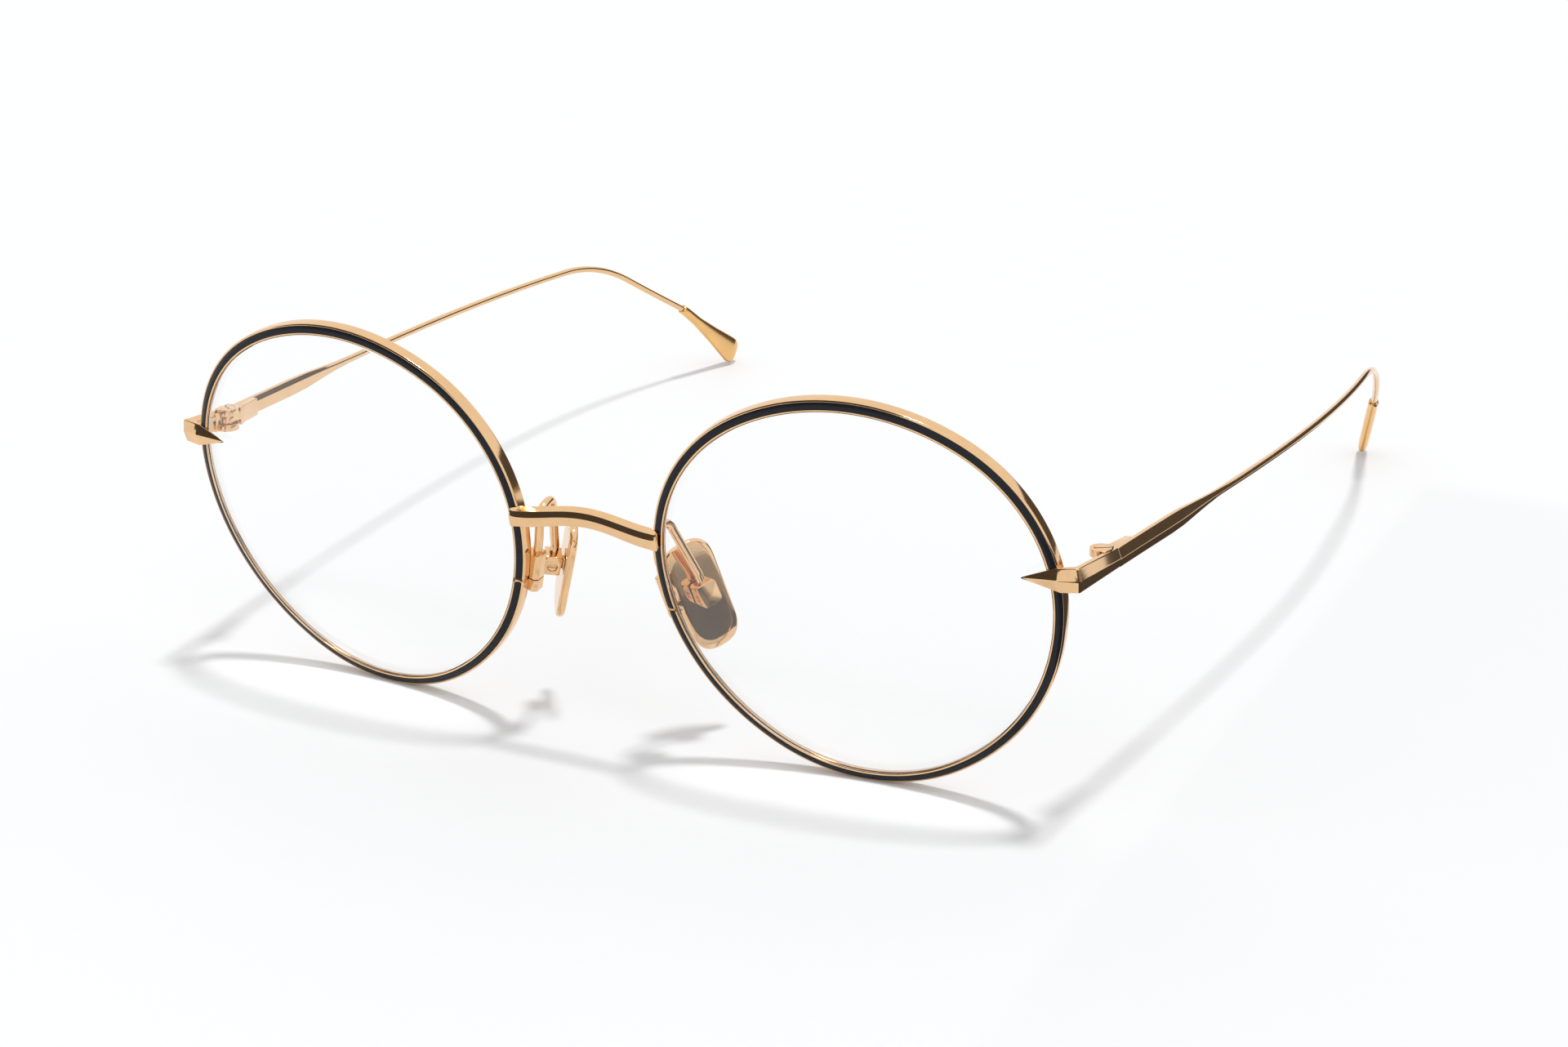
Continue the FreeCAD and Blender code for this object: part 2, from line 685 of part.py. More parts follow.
def hinge_parts(end_shape, temple_shape):
    """Outer knuckles on the end piece, middle knuckle on the temple, one screw."""
    frame = hinge_frame()
    radius = size("barrel_radius")
    bottom, play = size("barrel_bottom"), size("barrel_play")
    middle, top = bottom + play, bottom + 2 * play + size("barrel_middle")
    stack = top + size("barrel_top")
    reach = size("hinge_in") - size("arm_wide") * 0.5

    def barrel(low, tall, extra=0.0):
        shape = Part.makeCylinder(radius + extra, tall)
        shape.Placement = frame * shift(0, 0, low)
        return shape

    def block(low, high):
        shape = Part.makeBox(high[0] - low[0], high[1] - low[1], high[2] - low[2], V(*low))
        shape.Placement = frame
        return shape

    def hole(r, low, tall):
        shape = Part.makeCylinder(r, tall)
        shape.Placement = frame * shift(0, 0, low)
        return shape

    inner = size("barrel_inner")
    foot = block((-0.1, -radius - 0.9, 0.15), (reach, -inner * 0.6, stack - size("barrel_proud")))
    front = barrel(0, bottom).fuse(barrel(top, stack - top)).fuse(foot)
    front = front.cut(barrel(middle - play, size("barrel_middle") + 2 * play, inner + 0.1 - radius))
    front = front.cut(hole(size("hinge_screw"), -1, bottom + 1.2))
    front = front.cut(hole(size("hinge_screw+screw_play"), middle, stack))
    front = front.cut(hole(size("hinge_head") + 0.05, stack - size("hinge_head_deep"), 2))
    front = front.cut(block((reach - 0.15, -5, -1), (5, 5, 6))).cut(end_shape)
    keep(solid("FrontKnuckles", front), "hinge_front_left")

    gap = size("hinge_before+butt_gap")
    root = size("root_length")
    low, high = 0.12, stack - size("barrel_proud") - 0.1
    web = size("hinge_in-arm_wide") - 0.12
    wedge = Part.makePolygon([
        V(-0.7, 0, low), V(-0.75, gap + 0.2, low), V(-0.3, gap + 0.3 * root, low),
        V(reach * 0.3, gap + root, low), V(reach, gap + root, low), V(reach, gap, low),
        V(web, gap, low), V(web, 0, low), V(-0.7, 0, low),
    ])
    gusset = Part.Face(wedge).extrude(V(0, 0, high - low))
    gusset.Placement = frame
    leaf = gusset.cut(barrel(-1, middle + 1, size("barrel_relief")))
    leaf = leaf.cut(barrel(top - play, 3, size("barrel_relief")))
    ahead = block((-5, -5, -1), (5, gap, middle)).fuse(block((-5, -5, top - play), (5, gap, 6)))
    leaf = leaf.cut(ahead).fuse(barrel(middle, size("barrel_middle"), inner - radius))
    leaf = leaf.cut(hole(size("hinge_screw+screw_play"), -1, 6)).cut(temple_shape)
    keep(solid("TempleKnuckle", leaf), "hinge_temple_left")

    shank = rod("HingeShank", "hinge_screw", "barrel_bottom+barrel_middle+barrel_top+2*barrel_play-0.1",
                frame * shift(0, 0, 0.02))
    cap = rod("HingeCap", "hinge_head", "hinge_head_deep", frame * shift(0, 0, stack - size("hinge_head_deep")))
    slots = [
        primitive(
            "Part::Box", "HingeSlot" + name,
            {"Length": "3*hinge_head", "Width": "slot_wide", "Height": "2*slot_deep"},
            frame * shift(0, 0, stack - size("slot_deep")) * turn_about(ZAX, angle)
            * shift(-1.5 * size("hinge_head"), -size("slot_wide/2"), 0),
        )
        for name, angle in (("A", 35),)
    ]
    keep(cut("HingeScrewShape", joined("HingeScrewBlank", [shank, cap]), slots), "hinge_screw_left")


# Nose pads ---------------------------------------------------------------------

def pad_frame():
    """On the pad's screw: X away from the nose, Y backwards along the pad, Z up."""
    spot = shift(size("pad_across/2"), size("pad_back"), -size("pad_drop"))
    return spot * turn_about(ZAX, -size("pad_splay")) * turn_about(YAX, -size("pad_lean")) * turn_about(XAX, size("pad_roll"))


def pad_parts():
    """Plate, its stem, the slotted box it rocks in and the cross screw."""
    frame = pad_frame()
    face = size("box_deep/2+pad_gap")

    def plate_outline(sketch):
        outline(sketch, [
            ("0-pad_wide/2", "0-pad_low-pad_tall/2"), ("pad_wide/2", "0-pad_low-pad_tall/2"),
            ("pad_narrow/2", "0-pad_low+pad_tall/2"), ("0-pad_narrow/2", "0-pad_low+pad_tall/2"),
        ])

    plate = padded("PadPlate", "YZ_Plane", plate_outline, "pad_thick", frame * shift(-face - size("pad_thick"), 0, 0))
    doc.recompute()
    round_edges(plate, "pad_corner", lambda e: straight_along(e, XAX))
    doc.recompute()
    round_edges(plate, "pad_edge", lambda e: abs(e.BoundBox.XLength) < 1e-3)
    keep(plate, "nose_pad_left")

    stem_long = "pad_gap+box_deep/2"
    disc_part = rod("StemEye", "stem_radius", "stem_thick", frame * shift(0, size("stem_thick/2"), 0) * turn_about(XAX, 90))
    tongue = primitive(
        "Part::Box", "StemTongue",
        {"Length": stem_long, "Width": "stem_thick", "Height": "2*stem_radius"},
        frame * shift(-face, -size("stem_thick/2"), -size("stem_radius")),
    )
    across = frame * shift(0, size("box_wide/2"), 0) * turn_about(XAX, 90)
    eye = rod("StemHole", "pad_screw+screw_play", "box_wide", across)
    keep(cut("StemShape", joined("StemBlank", [disc_part, tongue]), [eye]), "pad_stem_left")

    def box_outline(sketch):
        outline(sketch, [
            ("0-box_wide/2", "0-box_tall/2"), ("box_wide/2", "0-box_tall/2"),
            ("box_wide/2", "box_tall/2"), ("0-box_wide/2", "box_tall/2"),
        ])

    case = padded("PadBox", "YZ_Plane", box_outline, "box_deep", frame * shift(-size("box_deep/2"), 0, 0))
    doc.recompute()
    round_edges(case, "box_round", lambda e: straight_along(e, XAX))
    room = primitive(
        "Part::Box", "PadBoxRoom",
        {"Length": "box_deep-box_end+1", "Width": "stem_thick+2*stem_play", "Height": "box_tall-2*box_wall"},
        frame * shift(-size("box_deep/2") - 1, -size("stem_thick/2+stem_play"), -size("box_tall/2-box_wall")),
    )
    near = rod("PadScrewClear", "pad_screw+screw_play", "box_wide/2", across * shift(0, 0, size("box_wide/2")))
    far = rod("PadScrewThread", "pad_screw", "box_wide/2+0.1", across * shift(0, 0, -0.1))
    sink = rod("PadHeadRoom", "pad_head+0.04", "pad_head_deep+0.1", across * shift(0, 0, size("box_wide-pad_head_deep")))
    keep(cut("PadBoxShape", case, [room, near, far, sink]), "pad_box_left")
    shank = rod("PadShank", "pad_screw", "box_wide-0.3", across * shift(0, 0, 0.1))
    cap = rod("PadCap", "pad_head", "pad_head_deep-0.05", across * shift(0, 0, size("box_wide-pad_head_deep")))
    slot = primitive(
        "Part::Box", "PadSlot", {"Length": "3*pad_head", "Width": "slot_wide*0.8", "Height": "slot_deep"},
        across * shift(-1.5 * size("pad_head"), -size("slot_wide*0.4"), size("box_wide-0.05") - 0.16),
    )
    keep(cut("PadScrewShape", joined("PadScrewBlank", [shank, cap]), [slot]), "pad_screw_left")


def straight_along(edge, axis):
    first, last = edge.Vertexes[0].Point, edge.Vertexes[-1].Point
    way = last - first
    return way.Length > 1e-6 and abs(way.normalize() * axis) > 0.999


def round_edges(body, radius, chosen):
    """A fillet on the tip feature's edges that a rule picks."""
    tip = body.Tip
    names = []
    for i, edge in enumerate(tip.Shape.Edges, start=1):
        if chosen(edge):
            names.append("Edge%d" % i)
    fillet = body.newObject("PartDesign::Fillet", body.Name + "_" + radius)
    fillet.Base = (tip, names)
    fillet.setExpression("Radius", bound(radius))
    body.Tip = fillet
    return fillet


def wire_along(points, radius, bend):
    """Round wire on straight runs joined by tangent arcs."""
    edges, last = [], points[0]
    for i in range(1, len(points) - 1):
        a, b, c = points[i - 1], points[i], points[i + 1]
        into, out = (b - a).normalize(), (c - b).normalize()
        half = into.getAngle(out) / 2
        back = min(bend * math.tan(half), 0.48 * min((b - a).Length, (c - b).Length))
        r = back / math.tan(half)
        start, end = b - into * back, b + out * back
        centre = start + (out - into * (into * out)).normalize() * r
        mid = centre + (b - centre).normalize() * r
        if (start - last).Length > 1e-5:
            edges.append(Part.LineSegment(last, start).toShape())
        edges.append(Part.Arc(start, mid, end).toShape())
        last = end
    edges.append(Part.LineSegment(last, points[-1]).toShape())
    path = Part.Wire(edges)
    ring = Part.Wire([Part.Circle(points[0], (points[1] - points[0]).normalize(), radius).toShape()])
    return path.makePipeShell([ring], True, False)


def pad_arm(lock_shape, box_shape):
    """Wire from the rim lock's top, over its loop and down into the pad box."""
    frame = lock_frame()
    foot = V(size("lock_reach/2"), -size("lock_upper+split_width/2"), size("0-rim_back-lock_head-0.08"))
    start = frame.multVec(foot + V(0, 0.3, 0))
    rise = (frame.multVec(foot) - start).normalize()
    top = size("loop_rise")
    crest = V(start.x - size("loop_in"), start.y + size("loop_back"), top)
    over = crest + V(0.3, size("loop_long"), -0.1)
    box_top = pad_frame().multVec(V(0, 0, size("box_tall/2") - 0.3))
    above = pad_frame().multVec(V(0, 0, size("box_tall/2") + 1.2))
    points = [start, start + rise * 2.2, crest, over, above, box_top]
    shape = wire_along(points, size("arm_wire"), size("loop_round"))
    shape = shape.cut(lock_shape).cut(box_shape)
    keep(solid("PadArmWire", shape), "pad_arm_left")


def mirrored(node):
    """The same piece on the wearer's right."""
    source = [o for o in PARTS if o.Label == node][0]
    twin = doc.addObject("Part::Mirroring", source.Name + "Mirrored")
    twin.Source = source
    twin.Base = V(0, 0, 0)
    twin.Normal = XAX
    return keep(twin, node.replace("_left", "_right"))


def part_shape(node):
    return [o for o in PARTS if o.Label == node][0].Shape.copy()


def mirror_shape(shape):
    return shape.mirror(V(0, 0, 0), XAX)


def lowest(points, tilt):
    return min(points, key=lambda p: p.y * math.sin(tilt) + p.z * math.cos(tilt))


def standing():
    """Tilt and lift that stand the frame on its rims and temple tips."""
    rim = part_shape("rim_left").tessellate(0.01)[0]
    tip = part_shape("temple_tip_left").tessellate(0.01)[0]
    tilt = 0.1
    for _ in range(8):
        a, b = lowest(rim, tilt), lowest(tip, tilt)
        tilt = math.atan2(a.z - b.z, b.y - a.y)
    a = lowest(rim, tilt)
    lift = -(a.y * math.sin(tilt) + a.z * math.cos(tilt))
    stand = PL(V(0, 0, lift), ROT(XAX, math.degrees(tilt)))
    low, high = 1e9, -1e9
    for obj in PARTS:
        shape = obj.Shape.copy()
        shape.Placement = stand * shape.Placement
        box = shape.BoundBox
        low, high = min(low, box.YMin), max(high, box.YMax)
    return shift(0, -(low + high) / 2, 0) * stand


def check_document():
    for obj in doc.Objects:
        if "Invalid" in obj.State or "Error" in obj.State:
            raise RuntimeError("failed: %s %s" % (obj.Name, obj.State))
    for obj in PARTS:
        if obj.Shape.isNull() or not obj.Shape.isValid() or not obj.Shape.Solids:
            raise RuntimeError("bad shape: " + obj.Label)


def build():
    rim_parts()
    lens_part()
    lock_parts()
    pad_parts()
    doc.recompute()
    rim_shape = part_shape("rim_left")
    bridge_part([rim_shape, mirror_shape(rim_shape)])
    end_shape = end_piece(rim_shape, part_shape("lens_left"))
    temple = temple_parts()
    keep(solid("Temple", temple), "temple_left")
    hinge_parts(end_shape, temple)
    pad_arm(part_shape("rim_lock_upper_left"), part_shape("pad_box_left"))
    doc.recompute()
    for node in [o.Label for o in PARTS if o.Label.endswith("_left")]:
        mirrored(node)
    doc.recompute()
    stand = standing()
    for obj in SOURCES:
        obj.Placement = stand * obj.Placement
    doc.recompute()
    check_document()
    os.makedirs("parts", exist_ok=True)
    for obj in PARTS:
        obj.Shape.exportStep("parts/%s.step" % obj.Label)
    hinge = stand * hinge_frame()
    screw = stand * pad_frame()
    print("hinge", hinge.Base, hinge.Rotation.multVec(ZAX))
    print("pad screw", screw.Base, screw.Rotation.multVec(YAX))
    print("stand", stand)
    for obj in PARTS:
        print(obj.Label, len(obj.Shape.Solids), round(obj.Shape.Volume, 2))


build()
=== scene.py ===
import json
import math

import bmesh
import bpy
import mathutils
import numpy as np
from bpy.props import FloatProperty, FloatVectorProperty, PointerProperty
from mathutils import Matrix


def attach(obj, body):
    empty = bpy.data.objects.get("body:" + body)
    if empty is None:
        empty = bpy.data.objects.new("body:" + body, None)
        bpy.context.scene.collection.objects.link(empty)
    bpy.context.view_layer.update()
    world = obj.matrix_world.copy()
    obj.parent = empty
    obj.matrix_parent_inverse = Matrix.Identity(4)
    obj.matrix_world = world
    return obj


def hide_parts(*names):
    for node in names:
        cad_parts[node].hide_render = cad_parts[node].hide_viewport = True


bl_info = {
    "name": "Round Metal Eyeglasses",
    "version": (1, 0, 0),
    "blender": (4, 5, 0),
    "location": "3D View > Sidebar > Eyeglasses",
    "description": "Dresses the packed eyeglasses frame: rims, enamel, lenses, pads and temples",
    "category": "Object",
}

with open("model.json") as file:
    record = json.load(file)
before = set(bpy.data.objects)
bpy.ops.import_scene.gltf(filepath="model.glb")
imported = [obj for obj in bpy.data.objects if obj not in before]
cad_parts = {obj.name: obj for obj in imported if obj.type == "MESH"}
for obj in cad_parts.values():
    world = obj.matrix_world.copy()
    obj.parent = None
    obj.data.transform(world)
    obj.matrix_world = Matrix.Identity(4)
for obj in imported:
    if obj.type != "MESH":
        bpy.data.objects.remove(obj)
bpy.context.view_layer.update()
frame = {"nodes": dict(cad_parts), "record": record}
RECORD = frame["record"]
JOINTS = {joint["name"]: joint for joint in RECORD["behaviour"]["joints"]}
SIDES = ("left", "right")

# Sizes of the real parts, millimetres and degrees, in the front's own frame:
# X to the wearer's left, Y backwards, Z up, origin midway between the lenses.
LENS_RADIUS, LENS_LOBE, LENS_GAP, WRAP = 25.0, 0.473, 20.3, 4.25
LENS_CURVE, LENS_THICK, BEVEL_RISE, GROOVE_MID = 130.0, 1.8, 0.42, 0.85
RIM_LIP, RIM_WALL, RIM_NOSE, RIM_SHOULDER, RIM_BACK = 0.42, 0.92, 0.14, 0.18, 1.80
ENAMEL_INNER, ENAMEL_OUTER = 0.24, 0.26
LOCK_DROP, LOCK_UPPER, LOCK_REACH, LOCK_HEAD, SPLIT = 5.5, 3.65, 2.1, 0.58, 0.12
SLOPE, SPLAY, TUCK, INSET = 11.79, 4.53, 14.3, 1.4
LOBE_SHIFT = LENS_LOBE / (1 - math.sqrt(3) / 2)
TIGHT = LENS_RADIUS + LENS_LOBE - LOBE_SHIFT
WIDE = LENS_RADIUS - LENS_LOBE + LOBE_SHIFT
END_HEIGHT, END_TALL, END_POINT, END_OUT, END_PROUD, CORNER_PROUD = 5.75, 3.2, 4.1, 2.45, 1.0, 0.12
ARM_LENGTH, ARM_TALL, ARM_WIDE, ARM_DROP = 11.1, 2.3, 1.4, 0.3
HINGE_IN, HINGE_BEFORE, BARREL_PROUD = 1.7, 1.9, 0.4
KNUCKLES = (0.85, 0.05, 1.10, 0.05, 0.95)
BRIDGE_HEIGHT, BRIDGE_ARCH, BRIDGE_STAND, BRIDGE_TALL, BRIDGE_DEEP = 4.45, 1.05, 0.55, 2.1, 1.7
TEMPLE_RUN, BEND_RADIUS, EAR_SLOPE, EAR_RUN = 94.2, 35.35, 40.9, 13.35
HOOK_RADIUS, HOOK_SLOPE, TIP_RUN = 20.0, 52.0, 13.9
BUTT_GAP, BLADE_LENGTH, WIRE_RADIUS = 0.06, 30.0, 0.5
TIP_OVERLAP, TIP_NECK, TIP_WIDE, TIP_THICK = 2.0, 0.75, 4.6, 1.6
PAD_THICK, PAD_GAP, BOX_DEEP, BOX_WIDE, BOX_TALL = 1.1, 0.25, 2.1, 2.7, 3.0
PAD_TALL, PAD_WIDE, PAD_NARROW, PAD_LOW, PAD_CORNER, PAD_BOW = 14.6, 6.2, 7.2, 0.7, 2.6, 0.10
PAD_ACROSS, PAD_BACK, PAD_DROP, PAD_SPLAY, PAD_LEAN, PAD_ROLL = 22.75, 7.0, 7.5, 34.0, 14.0, 11.0
ARM_WIRE, LOOP_RISE, LOOP_ROUND, LOOP_IN, LOOP_BACK, LOOP_LONG = 0.58, 3.6, 1.8, 0.9, 0.6, 3.4
TEMPLE_RISE, LENS_INSET, ENAMEL_DOME, ENAMEL_SKIRT, PAD_ROUND = 0.12, 0.006, 0.07, 0.16, 0.32
# The groove's gold wall just inside the lens edge, as (offset, forward) corners.
SEAT_WALL = ((-0.56, -1.68), (-0.50, -1.68), (-0.50, -0.02), (-0.56, -0.02))
RIM_STEPS, LENS_STEPS = 360, 240
TAU = 2 * math.pi


# Frames and paths ------------------------------------------------------------

def turn(axis, degrees):
    """Rotation matrix about a coordinate axis."""
    c, s = math.cos(math.radians(degrees)), math.sin(math.radians(degrees))
    rows = {
        "X": ((1, 0, 0), (0, c, -s), (0, s, c)),
        "Y": ((c, 0, s), (0, 1, 0), (-s, 0, c)),
        "Z": ((c, -s, 0), (s, c, 0), (0, 0, 1)),
    }
    return np.array(rows[axis])


def lens_axes():
    """Lens centre and its axes: X outwards, Y up, Z to the front."""
    centre = np.array([LENS_RADIUS + LENS_GAP / 2, 0, 0])
    return centre, turn("Z", WRAP) @ turn("X", 90)


def outline(angle, offset):
    """Lens outline of six tangent arcs, as a function of its normal's direction.

    Every arc is centred LOBE_SHIFT from the middle, towards one of three lobes at
    30, 150 and 270 degrees. Where the normal is within 30 degrees of a lobe the
    arc is the tight one about that lobe; elsewhere it is the wide one about the
    lobe opposite. The offset is added to the arc's radius.
    """
    angle = np.asarray(angle, float)
    lobe = np.round((np.degrees(angle) - 30) / 60).astype(int)
    tight = lobe % 2 == 0
    centre = np.radians(30 + 60 * lobe + np.where(tight, 0, 180))
    radius = np.where(tight, TIGHT, WIDE) + offset
    x = LOBE_SHIFT * np.cos(centre) + radius * np.cos(angle)
    y = LOBE_SHIFT * np.sin(centre) + radius * np.sin(angle)
    return x, y


def rim_point(height, forward, offset, side=1):
    """Point of the rim at a height above the lens centre; side 1 is the temple's."""
    upper = height >= LOBE_SHIFT / 2
    radius = (TIGHT if upper else WIDE) + offset
    out = LOBE_SHIFT * math.cos(math.radians(30)) * (1 if upper else -1)
    out += math.sqrt(radius**2 - (height - LOBE_SHIFT / 2) ** 2)
    centre, axes = lens_axes()
    return centre + axes @ np.array([side * out, height, forward])


def slope_axes():
    """The temple's direction and the hinge pin's direction, both square to X."""
    fall = math.radians(SLOPE)
    along = np.array([0, math.cos(fall), -math.sin(fall)])
    upward = np.array([0, math.sin(fall), math.cos(fall)])
    return along, upward


def end_corner():
    """Where the end piece turns from the front into its arm."""
    return rim_point(END_HEIGHT, 0.0, RIM_WALL) + np.array([END_OUT, -CORNER_PROUD, 0.1])


def butt_point():
    """Where the arm's outer crease meets the temple's."""
    along, _ = slope_axes()
    lean = math.tan(math.radians(SPLAY)) * ARM_LENGTH
    return end_corner() + along * ARM_LENGTH + np.array([lean, 0, -ARM_DROP])


def hinge_base():
    """Foot of the hinge pin, and its axes: X outwards, Y along the temple, Z up the pin."""
    along, upward = slope_axes()
    top = ARM_TALL * 0.55 + BARREL_PROUD
    spot = butt_point() - along * HINGE_BEFORE - np.array([HINGE_IN, 0, 0])
    return spot + upward * (top - sum(KNUCKLES)), np.column_stack([(1, 0, 0), along, upward])


def temple_runs():
    """The temple's three slopes in side view, and the lengths of its five runs."""
    first, second, third = (math.radians(a) for a in (SLOPE, EAR_SLOPE, HOOK_SLOPE))
    bend, hook = BEND_RADIUS * (second - first), HOOK_RADIUS * (third - second)
    return (first, second, third), (TEMPLE_RUN, bend, EAR_RUN, hook, TIP_RUN)


def temple_path(run):
    """Centre, tangent and upright of the temple at runs measured from the butt.

    In side view: straight, an arc down, straight, a second arc and straight. In
    plan: a cubic with the splay at the hinge, the inset and the tuck at the ear.
    """
    run = np.atleast_1d(np.asarray(run, float))
    (first, second, third), lengths = temple_runs()
    turns = ((first, None), (first, BEND_RADIUS), (second, None), (second, HOOK_RADIUS), (third, None))
    start = butt_point() - np.array([ARM_WIDE / 2, 0, 0]) + slope_axes()[1] * TEMPLE_RISE
    y, z = np.full(run.shape, start[1]), np.full(run.shape, start[2])
    slope, before = np.full(run.shape, first), 0.0
    for length, (angle, radius) in zip((*lengths[:-1], math.inf), turns):
        step = np.clip(run - before, 0, length)
        if radius is None:
            y, z = y + step * math.cos(angle), z - step * math.sin(angle)
        else:
            now = angle + step / radius
            y = y + radius * (np.sin(now) - math.sin(angle))
            z = z - radius * (math.cos(angle) - np.cos(now))
            slope = np.where(run > before, now, slope)
        before += length
    bow = sum(lengths[:3])
    out, tuck = math.tan(math.radians(SPLAY)), math.tan(math.radians(TUCK))
    part = np.minimum(run / bow, 1.0)
    x = (part**3 - 2 * part**2 + part) * bow * out - (3 * part**2 - 2 * part**3) * INSET
    x = x + (part**2 - part**3) * bow * tuck - np.maximum(run - bow, 0) * tuck
    lean = (3 * part**2 - 4 * part + 1) * out - (6 * part - 6 * part**2) * INSET / bow
    lean = lean + (2 * part - 3 * part**2) * tuck
    tangent = np.stack([lean, np.cos(slope), -np.sin(slope)], 1)
    tangent /= np.linalg.norm(tangent, axis=1)[:, None]
    upright = np.stack([np.zeros_like(slope), np.sin(slope), np.cos(slope)], 1)
    return np.stack([start[0] + x, y, z], 1), tangent, upright


def temple_length():
    """Length of the whole temple along its path."""
    return sum(temple_runs()[1])


def pad_axes():
    """Nose pad's pin: X away from the nose, Y backwards along the pin, Z up the pad."""
    spot = np.array([PAD_ACROSS / 2, PAD_BACK, -PAD_DROP])
    return spot, turn("Z", -PAD_SPLAY) @ turn("Y", -PAD_LEAN) @ turn("X", PAD_ROLL)


def standing():
    """Rotation and shift from the front's frame to the ground, from the left hinge pin."""
    joint = JOINTS["temple_left_fold"]
    tilt = SLOPE - math.degrees(math.atan2(joint["axis"][1], joint["axis"][2]))
    rotation = turn("X", tilt)
    shift = np.array(joint["pos_m"]) * 1000 - rotation @ hinge_base()[0]
    return rotation, shift


STAND_TURN, STAND_SHIFT = standing()


def grounded(points):
    """Millimetres in the front's frame to metres on the ground."""
    return (np.asarray(points, float) @ STAND_TURN.T + STAND_SHIFT) / 1000


# Surfaces --------------------------------------------------------------------

def rounded_rings(corners, radius, cuts=4, support=0.08):
    """Closed rings with rounded corners from rows of polygon corners.

    corners is rows x corners x 3. Each corner becomes a quadratic curve that
    leaves and meets its two sides at the radius, or at 0.42 of a short side,
    with one supporting point further out on each side.
    """
    corners = np.asarray(corners, float)
    before, after = np.roll(corners, 1, 1) - corners, np.roll(corners, -1, 1) - corners
    ring = []
    for side in (before, after):
        length = np.linalg.norm(side, axis=2)
        reach = np.minimum(radius, 0.42 * length)
        hold = np.minimum(reach + support, 0.48 * length)
        unit = side / np.maximum(length, 1e-9)[..., None]
        ring.append((corners + unit * reach[..., None], corners + unit * hold[..., None]))
    (start, held), (end, holding) = ring
    t = np.linspace(0, 1, cuts + 1)[None, None, :, None]
    curve = (1 - t) ** 2 * start[:, :, None] + 2 * t * (1 - t) * corners[:, :, None]
    curve = curve + t**2 * end[:, :, None]
    full = np.concatenate([held[:, :, None], curve, holding[:, :, None]], 2)
    return full.reshape(corners.shape[0], -1, 3)


def between(keys, counts):
    """Straight interpolation between key rows, counts[i] steps from key i to i + 1."""
    keys = np.asarray(keys, float)
    rows = []
    for i, count in enumerate(counts):
        t = np.linspace(0, 1, count, endpoint=False).reshape((-1,) + (1,) * (keys.ndim - 1))
        rows.append(keys[i] * (1 - t) + keys[i + 1] * t)
    rows.append(keys[-1:])
    return np.concatenate(rows)


def closed_ends(rings, depth=0.06, steps=3):
    """Adds rings that round both ends off: each edge turns in along a quarter ellipse."""
    body, caps = rings.copy(), []
    for row, inner in ((0, 1), (-1, -2)):
        middle = rings[row].mean(0)
        axis = middle - rings[inner].mean(0)
        axis /= max(np.linalg.norm(axis), 1e-9)
        reach = np.linalg.norm(rings[row] - middle, axis=1).mean()
        lap = min(depth / max(reach, 1e-9), 0.6)
        cap = []
        for i in range(1, steps + 1):
            angle = 0.5 * math.pi * i / steps
            shrink = 1 - lap * (1 - math.cos(angle))
            cap.append(middle + (rings[row] - middle) * shrink + axis * depth * (math.sin(angle) - 1))
        caps.append(cap)
        body[row] = rings[row] - axis * depth
    head, tail = caps
    return np.concatenate([np.array(head[::-1]), body, np.array(tail)])


def ring_faces(rows, columns, wrap_rows=False):
    """Quads between neighbouring closed rings."""
    i = np.arange(rows if wrap_rows else rows - 1)[:, None] * columns
    nxt = (i + columns) % (rows * columns)
    j = np.arange(columns)[None, :]
    k = (j + 1) % columns
    return np.stack([i + j, i + k, nxt + k, nxt + j], -1).reshape(-1, 4)


def tube(rings, wrap=False):
    """Vertices and faces of a closed skin: quads along the rings, a fan at each end.

    With wrap the last ring joins the first, and there are no ends.
    """
    rings = np.asarray(rings, float)
    rows, columns = rings.shape[:2]
    verts = rings.reshape(-1, 3)
    faces = [tuple(f) for f in ring_faces(rows, columns, wrap).tolist()]
    if wrap:
        return verts, faces
    verts = np.concatenate([verts, rings[0].mean(0)[None], rings[-1].mean(0)[None]])
    first, last = len(verts) - 2, len(verts) - 1
    base = (rows - 1) * columns
    for j in range(columns):
        k = (j + 1) % columns
        faces.append((first, k, j))
        faces.append((last, base + j, base + k))
    return verts, faces


def outward(verts, faces):
    """Turns every face of a closed skin the same way out, by the sign of its volume."""
    total = 0.0
    for size in (3, 4):
        cells = np.array([f for f in faces if len(f) == size])
        if len(cells):
            a, b, c = (verts[cells[:, i]] for i in range(3))
            total += np.einsum("ij,ij->", a, np.cross(b, c))
            if size == 4:
                total += np.einsum("ij,ij->", a, np.cross(c, verts[cells[:, 3]]))
    return faces if total > 0 else [f[::-1] for f in faces]


def make_piece(name, skin, material, body, nodes):
    """One object from a closed skin in the front's frame, riding its body, standing for its nodes."""
    verts, faces = skin[0], outward(*skin)
    if name.endswith("_right"):
        verts = verts * np.array([-1, 1, 1])
        faces = [f[::-1] for f in faces]
    mesh = bpy.data.meshes.new(name)
    mesh.from_pydata(grounded(verts).tolist(), [], faces)
    mesh.polygons.foreach_set("use_smooth", [True] * len(faces))
    mesh.validate()
    mesh.update()
    obj = bpy.data.objects.new(name, mesh)
    bpy.context.scene.collection.objects.link(obj)
    mesh.materials.append(material)
    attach(obj, body)
    if nodes:
        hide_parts(*nodes)


def make_pair(name, skin, material, body, slot, *nodes):
    """A left piece and its mirror image; {side} in the body's name stands for left or right."""
    for side in SIDES:
        make_piece(name + "_" + side, skin, material, body.format(side=side),
                   [node + "_" + side for node in nodes])


